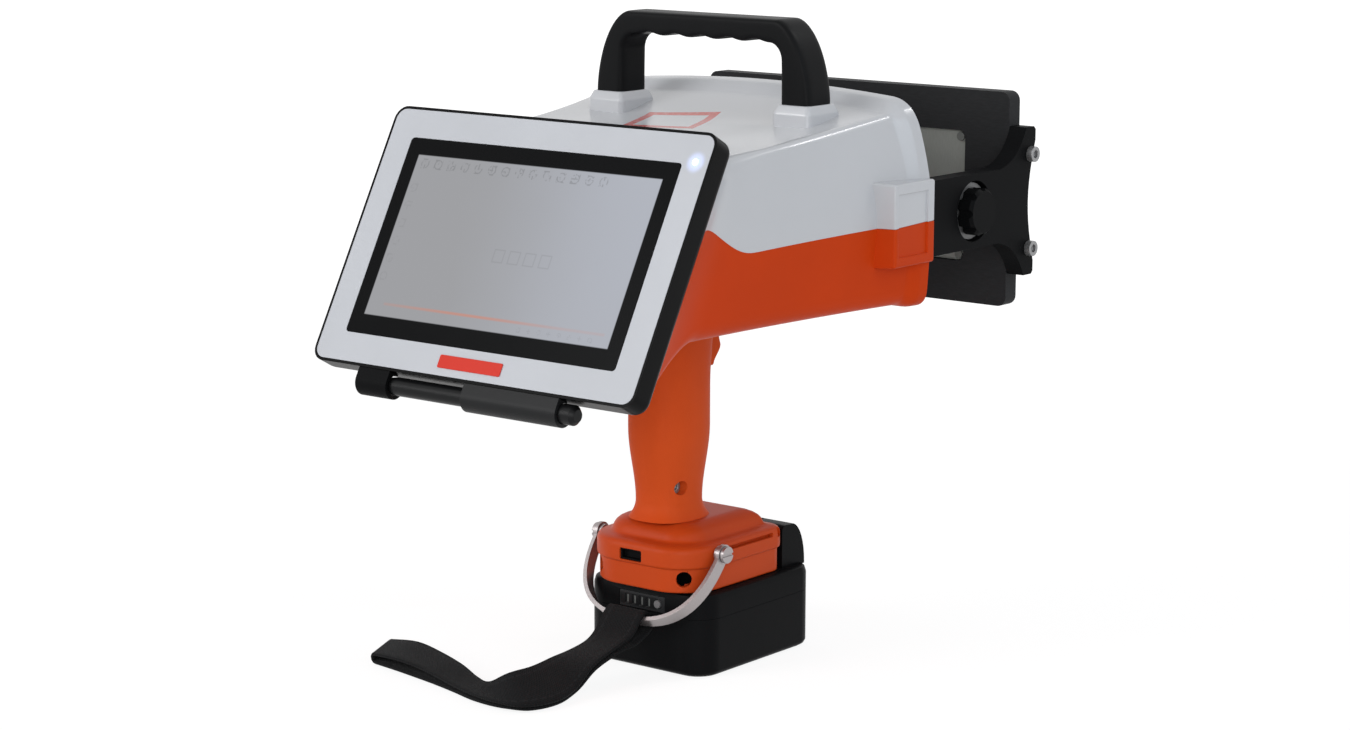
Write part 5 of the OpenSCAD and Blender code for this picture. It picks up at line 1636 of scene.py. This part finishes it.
@dataclass
class CarryHandle:
    """Black bar handle on two legs that lean in, with finger waves under it.

    A leg's own measure is k, from 0 at its foot to 1 at the bar.
    """

    bench: Bench
    y: float = 7.5
    deep: float = 21.0
    leg: float = 17.7
    inner: float = 50.0
    bend: float = 8.0
    shelf: float = 5.0
    bar: float = 11.9
    square: float = 0.32
    full: float = 1.143
    upright: float = 5 / 12
    waves: int = 5
    wave: float = 1.4
    leg_steps: int = 36
    bar_steps: int = 120
    sides: int = 56

    def outer_leg(self, k: float, foot: float, top: float) -> Vector:
        """Point on the outside of a leg.

        Args:
            k: Place along the leg.
            foot: Height of the foot.
            top: Height of the handle's top.

        Returns:
            The point.
        """
        flat, a = self.inner - self.bend + self.shelf, math.pi / 2 * k
        out = math.cos(a) ** self.full if k < 1 else 0.0
        return Vector((mix(flat, self.inner + self.leg, out), 0,
                       mix(foot, top, math.sin(a) ** self.full)))

    def inner_leg(self, k: float, foot: float, top: float) -> Vector:
        """Point on the inside of a leg.

        Args:
            k: Place along the leg.
            foot: Height of the foot.
            top: Height of the handle's top.

        Returns:
            The point.
        """
        low = top - self.bar - self.bend
        if k <= self.upright:
            return Vector((self.inner, 0, mix(foot, low, k / self.upright)))
        b = math.pi / 2 * (k - self.upright) / (1 - self.upright)
        return Vector((self.inner - self.bend * (1 - math.cos(b)), 0,
                       low + self.bend * math.sin(b)))

    def contour(self, foot: float, top: float) -> list[tuple[Vector, Vector]]:
        """Follows the handle from one foot to the other.

        Args:
            foot: Height of the feet.
            top: Height of the handle's top.

        Returns:
            Pairs of points, outside and inside the bar.
        """
        places = [i / self.leg_steps for i in range(self.leg_steps + 1)]
        leg = [(self.outer_leg(k, foot, top), self.inner_leg(k, foot, top)) for k in places]
        flat, short = self.inner - self.bend + self.shelf, self.inner - self.bend
        middle = []
        for i in range(1, self.bar_steps):
            share = i / self.bar_steps
            s = 1 - 2 * share
            rise = self.wave * (1 - math.cos(math.tau * self.waves * share)) / 2
            middle.append((Vector((s * flat, 0, top)),
                           Vector((s * short, 0, top - self.bar + rise))))
        far = [tuple(Vector((-p[0], p[1], p[2])) for p in pair) for pair in reversed(leg)]
        return leg + middle + far

    def build(self) -> None:
        """Sweeps the bar over its two legs."""
        low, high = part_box("carry_handle")
        rows = []
        for outer, inner in self.contour(low[2] / MM, high[2] / MM):
            ring = []
            for i in range(self.sides):
                c, s = superellipse(math.tau * (i + 0.5) / self.sides, self.square)
                side = Vector((0, self.y + s * self.deep / 2, 0))
                ring.append(mix(inner, outer, (1 + c) / 2) + side)
            rows.append(ring)
        self.bench.place(Form().loft(rows), "handle_bar", Body.HOUSING, Slot.BLACK, Palette.HANDLE,
                         ("carry_handle",), False)
        self.bench.dress(Palette.STEEL, "handle_screws")


@dataclass
class TouchDisplay:
    """Tilted display: black tub, white bezel, printed glass, lamp and red inlay."""

    bench: Bench
    origin: Point = (0.0, -146.4, 225.3)
    tilt: float = 28.5
    lamp: Pair = (91.4, 52.0)
    tub: Point = (200.4, 134.0, 14.0)
    tub_corner: float = 7.0
    tub_round: float = 4.5
    rim_depth: float = 0.2
    white: Colour = (0.468, 0.482, 0.515)

    def on_back_rim(self, point: Vector) -> bool:
        """Says whether a point lies on the outer edge of the tub's back.

        Args:
            point: Point in the frame of the object.

        Returns:
            Whether it does.
        """
        u, v, w = self.matrix().inverted() @ point
        wide, high, deep = self.tub
        near = max(abs(u) - wide / 2, abs(v) - high / 2) > -self.tub_corner / 2
        return near and w < self.rim_depth - deep

    def turn(self) -> float:
        """Turn of the display's frame about x."""
        return math.radians(90 - self.tilt)

    def matrix(self) -> Matrix:
        """Place of the display's frame."""
        return Matrix.Translation(Vector(self.origin)) @ Matrix.Rotation(self.turn(), 4, "X")

    def build(self) -> None:
        """Dresses the display from the back to the front."""
        spot = tuple(self.matrix() @ Vector((*self.lamp, 0.0)) * MM)
        origin = tuple(Vector(self.origin) * MM)
        white = LitBezel("bezel_white", self.white, spot, self.turn())
        glass = ScreenGlass("screen_glass", origin, self.turn())
        lens = Lens("lamp_lens", spot, self.turn())
        tub = self.bench.copy_of("display_housing")
        tub.soften(self.tub_round, 6, 50.0, self.on_back_rim).soften(0.7, 3, 32.0)
        self.bench.place(tub, "display_housing_dressed", Body.HOUSING, Slot.BLACK, Palette.TUB,
                         ("display_housing",))
        self.bench.fit(("display_bezel", Body.HOUSING, Slot.WHITE, white, 0.6, 3),
                       ("touch_glass", Body.HOUSING, Slot.GLASS, glass, 0.25),
                       ("power_lamp", Body.HOUSING, Slot.LAMP, lens, 0.3),
                       ("badge_plate", Body.HOUSING, Slot.BADGE, Palette.RED, 0.25))
        self.bench.dress(Palette.SLATE, "lcd_panel")
        self.bench.dress(Palette.GREEN, "display_board")
        self.bench.dress(Palette.STEEL, "display_screws")
        self.bench.fit(("pen_clip_small", Body.HOUSING, Slot.BLACK, Palette.BLACK, 0.4),
                       ("pen_clip_large", Body.HOUSING, Slot.BLACK, Palette.CLIP, 0.4),
                       ("pen_barrel", Body.PEN, Slot.BLACK, Palette.PEN, 0.4),
                       ("pen_tip", Body.PEN, Slot.BUTTON, Palette.PEN_TIP, 0.2))


@dataclass
class PistolGrip:
    """Orange grip in two halves, with its screws and trigger.

    A section's height is h, from 0 at the foot to 1 at the body. Each half size is the plain
    one and what the slim part, the swell at the top and the flared foot add to it.
    """

    bench: Bench
    low: float = 76.0
    high: float = 186.0
    axis_y: float = -26.0
    blunt: float = 0.82
    flare: float = 0.08
    slim_span: float = 0.34
    swell_from: float = 0.6
    half_w: tuple[float, float, float, float] = (18.0, -3.0, 1.0, 3.0)
    half_d: tuple[float, float, float, float] = (21.5, -4.5, 3.0, 4.0)
    well: float = 7.4
    well_end: float = 30.0
    screws: tuple[tuple[int, float, float, float], ...] = ((1, -34, 93, 8.5), (-1, -36, 138, 12.5))
    trigger_room: tuple[Point, Point] = ((-8.3, -18.3, 149.7), (8.3, 17.0, 182.3))
    sides: int = 40
    flare_steps: int = 8
    steps: int = 46

    def ring(self, h: float, side: int) -> Row:
        """Half section of the grip, closed along the seam.

        Args:
            h: Height of the section.
            side: 1 for the right half, and -1 for the left half.

        Returns:
            Points of the half section.
        """
        slim = 1 - ease(clamp01((h - self.flare) / self.slim_span))
        swell = ease(clamp01((h - self.swell_from) / (1 - self.swell_from)))
        foot = (1 - clamp01(h / self.flare)) ** 2
        half_w, half_d = (sum(size * share for size, share in zip(sizes, (1, slim, swell, foot)))
                          for sizes in (self.half_w, self.half_d))
        z = mix(self.low, self.high, h)
        ring = []
        for i in range(self.sides + 1):
            c, s = superellipse(math.pi * i / self.sides, self.blunt)
            ring.append(Vector((side * half_w * abs(s), self.axis_y + half_d * c, z)))
        return ring

    def half(self, side: int) -> Form:
        """One half of the grip with its screw well.

        Args:
            side: 1 for the right half, and -1 for the left half.

        Returns:
            The half.
        """
        heights = ([self.flare * i / self.flare_steps for i in range(self.flare_steps)]
                   + [mix(self.flare, 1.0, i / self.steps) for i in range(self.steps + 1)])
        form = Form().loft([self.ring(h, side) for h in heights])
        for at, y, z, depth in self.screws:
            if at == side:
                form.cut(Form().rod(self.well, Vector((side * depth, y, z)),
                                    Vector((side * self.well_end, y, z))))
        form.cut(Form().box(*self.trigger_room))
        return form.soften(0.35, 2, 50.0)

    def build(self) -> None:
        """Makes both halves and dresses the fittings."""
        for side, name in ((-1, "left"), (1, "right")):
            self.bench.place(self.half(side), f"grip_{name}_skin", Body.HOUSING, Slot.ORANGE,
                             Palette.GRIP, (f"grip_{name}",))
        self.bench.fit(("grip_screws", Body.HOUSING, Slot.STEEL, Palette.BOLT, 0.35),
                       ("trigger_button", Body.TRIGGER, Slot.ORANGE, Palette.GRIP, 1.0, 3))
        self.bench.dress(Palette.BLACK, "trigger_switch")


@dataclass
class BatteryFoot:
    """Stepped orange cap under the grip, with its port, bail and contacts.

    Each row of its profile is a height over the base and how far the outline is drawn in.
    """

    bench: Bench
    base: float = 43.4
    width: float = 73.0
    rear: float = -54.5
    front: float = 25.5
    corners: Pair = (24.0, 9.0)
    least_corners: Pair = (4.0, 3.0)
    corner_steps: int = 14
    rows: tuple[Pair, ...] = (
        (0, 2.0), (0.4, 1.6), (0.9, 1.5), (11.7, 1.5), (12.0, 1.3), (12.4, 0.5), (12.9, 0.1),
        (13.6, 0), (19.6, 0), (20.6, .1), (21.6, .45), (22.4, 1.0), (23.0, 1.9), (23.4, 2.9),
        (23.7, 4.2), (24, 6.2), (24.4, 7.2), (25, 7.8), (26, 8.2), (27.4, 8.7), (29, 9.8),
        (30.5, 11.6), (31.8, 14.2), (32.6, 17.0),
    )
    port_x: Pair = (-9.0, 5.0)
    port_z: Pair = (56.9, 62.9)
    port_deep: float = 5.0
    hole_d: float = 8.0
    hole_z: float = 50.4
    hole_turn: float = -50.0
    hole_reach: Pair = (18.0, 30.0)
    groove: tuple[float, Pair, Pair] = (3.0, (-25.0, 13.5), (62.3, 64.5))
    slot: tuple[float, Pair, Pair] = (2.5, (17.5, 21.0), (61.4, 68.0))
    rails: tuple[Point, ...] = ((24.4, 42.0, 48.0), (28.4, 47.0, 55.8))
    rail_rear: float = 8.0
    clear: float = 2.0

    def outline(self, inset: float) -> list[Vector]:
        """Outline of one step of the cap.

        Args:
            inset: How far the outline is drawn in.

        Returns:
            Points of the outline.
        """
        rear, front = (max(least, corner - inset)
                       for least, corner in zip(self.least_corners, self.corners))
        return round_box(self.width - 2 * inset, self.rear + inset, self.front - inset, rear, front,
                         self.corner_steps)

    def side_tool(self, side: int, deep: float, y: Pair, z: Pair) -> Form:
        """Box that cuts into one side of the cap.

        Args:
            side: 1 for the right side, and -1 for the left side.
            deep: Depth of the cut.
            y: Its rear and front ends.
            z: Its lower and upper ends.

        Returns:
            The box.
        """
        half = self.width / 2
        x = sorted((side * (half - deep), side * (half + self.clear)))
        return Form().box((x[0], y[0], z[0]), (x[1], y[1], z[1]))

    def hole_tool(self, side: int) -> Form:
        """Rod that drills the hole in one rear corner.

        Args:
            side: 1 for the right corner, and -1 for the left corner.

        Returns:
            The rod.
        """
        corner, turn = self.corners[0], math.radians(self.hole_turn)
        hub = Vector((side * (self.width / 2 - corner), self.rear + corner, self.hole_z))
        out = Vector((side * math.cos(turn), math.sin(turn), 0))
        return Form().rod(self.hole_d, *(hub + out * reach for reach in self.hole_reach))

    def build(self) -> None:
        """Makes the cap and dresses what it carries."""
        form = Form().loft([[Vector((p[0], p[1], self.base + up)) for p in self.outline(inset)]
                            for up, inset in self.rows])
        (x0, x1), (z0, z1) = self.port_x, self.port_z
        port = Form().box((x0, self.rear - 1, z0), (x1, self.rear + self.port_deep, z1))
        form.cut(port.soften(0.8, 2))
        for side in (1, -1):
            form.cut(self.hole_tool(side))
            form.cut(self.side_tool(side, *self.groove))
            form.cut(self.side_tool(side, *self.slot))
        for half, low, high in self.rails:
            form.cut(Form().box((-half, self.rear + self.rail_rear, low),
                                (half, self.front + 1, high)))
        form.soften(0.3, 2, 50.0)
        self.bench.place(form, "foot_cap", Body.HOUSING, Slot.ORANGE, Palette.FOOT,
                         ("battery_foot",))
        self.bench.fit(("service_port", Body.HOUSING, Slot.BLACK, Palette.BLACK, 0.4),
                       ("bail", Body.BAIL, Slot.STEEL, Palette.BAIL, 0.4),
                       ("bail_screws", Body.HOUSING, Slot.STEEL, Palette.BAIL, 0.35))
        self.bench.dress(Palette.BLACK, "terminal_block")
        self.bench.dress(Palette.BLADE, "terminal_blades")


@dataclass
class BatteryPack:
    """Slide-on battery: case, lid, latch and charge gauge."""

    bench: Bench
    window: Colour = (0.010, 0.0103, 0.011)

    def build(self) -> None:
        """Dresses the pack."""
        low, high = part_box("gauge_panel")
        middle = tuple((Vector(low) + Vector(high)) / 2)
        window = Gauge("gauge_window", self.window, 0.3, 0.05, 0.05, 0.05, 0.2, 1400.0,
                       centre=middle)
        self.bench.fit(("battery_case", Body.BATTERY, Slot.CASE, Palette.CASE, 0.5),
                       ("battery_lid", Body.BATTERY, Slot.CASE, Palette.CASE, 0.5),
                       ("gauge_panel", Body.BATTERY, Slot.BLACK, window, 0.25),
                       ("gauge_button", Body.CHECK, Slot.BUTTON, Palette.GREY, 0.3),
                       ("latch_button", Body.LATCH, Slot.BUTTON, Palette.BUTTON, 0.6))
        self.bench.dress(Palette.CELL, "battery_cells")


@dataclass
class WindowGuard:
    """Guard plate with its window sheet, arms, bolts and clamp knobs."""

    bench: Bench

    def build(self) -> None:
        """Dresses the guard."""
        self.bench.fit(("front_plate", Body.GUARD, Slot.BLACK_METAL, Palette.PLATE, 0.8, 3),
                       ("aperture_sheet", Body.GUARD, Slot.SHEET, Palette.SHEET, 0.2))
        for side, knob in (("left", Body.LEFT_KNOB), ("right", Body.RIGHT_KNOB)):
            self.bench.fit((f"arm_{side}", Body.GUARD, Slot.BLACK_METAL, Palette.ARM, 0.7, 3),
                           (f"knob_{side}", knob, Slot.BLACK, Palette.BLACK, 0.5))
        for node, finish, width in (("arm_bolts", Palette.BOLT, 0.35),
                                    ("clamp_washers", Palette.WASHER, 0.25),
                                    ("sheet_screws", Palette.DULL, 0.2),
                                    ("clamp_nuts", Palette.STEEL, 0.3)):
            self.bench.rounded(node, Body.GUARD, Slot.STEEL, finish, width)


@dataclass
class MarkingHead:
    """Two-axis drive and the striking head behind the window."""

    bench: Bench

    def build(self) -> None:
        """Dresses the drive and the head."""
        frame_metal = (Slot.FRAME, Palette.FRAME, 0.5)
        steel = (Slot.STEEL, Palette.STEEL, 0.3)
        motor = (Slot.MOTOR, Palette.MOTOR, 0.5)
        self.bench.fit(("chassis", Body.HOUSING, *frame_metal),
                       ("x_rods", Body.HOUSING, *steel),
                       ("x_motor", Body.HOUSING, *motor),
                       ("x_carriage", Body.X_STAGE, *frame_metal),
                       ("z_rods", Body.X_STAGE, *steel),
                       ("z_motor", Body.X_STAGE, *motor),
                       ("z_carriage", Body.Z_STAGE, *frame_metal),
                       ("solenoid", Body.Z_STAGE, *motor),
                       ("stylus_nose", Body.Z_STAGE, *steel))
        self.bench.dress(Palette.STEEL, "marking_pin", "x_screw", "z_screw")
        self.bench.dress(Palette.BRONZE, "x_nut")


def main() -> None:
    """Builds the scene, piece by piece."""
    logging.basicConfig(level=logging.INFO, format="%(message)s")
    Studio().build()
    bench = Bench()
    for assembly in (WristStrap, Shell, CarryHandle, TouchDisplay, PistolGrip, BatteryFoot,
                     BatteryPack, WindowGuard, MarkingHead):
        LOG.info("building %s", assembly.__name__)
        assembly(bench).build()


if __name__ == "__main__":
    main()
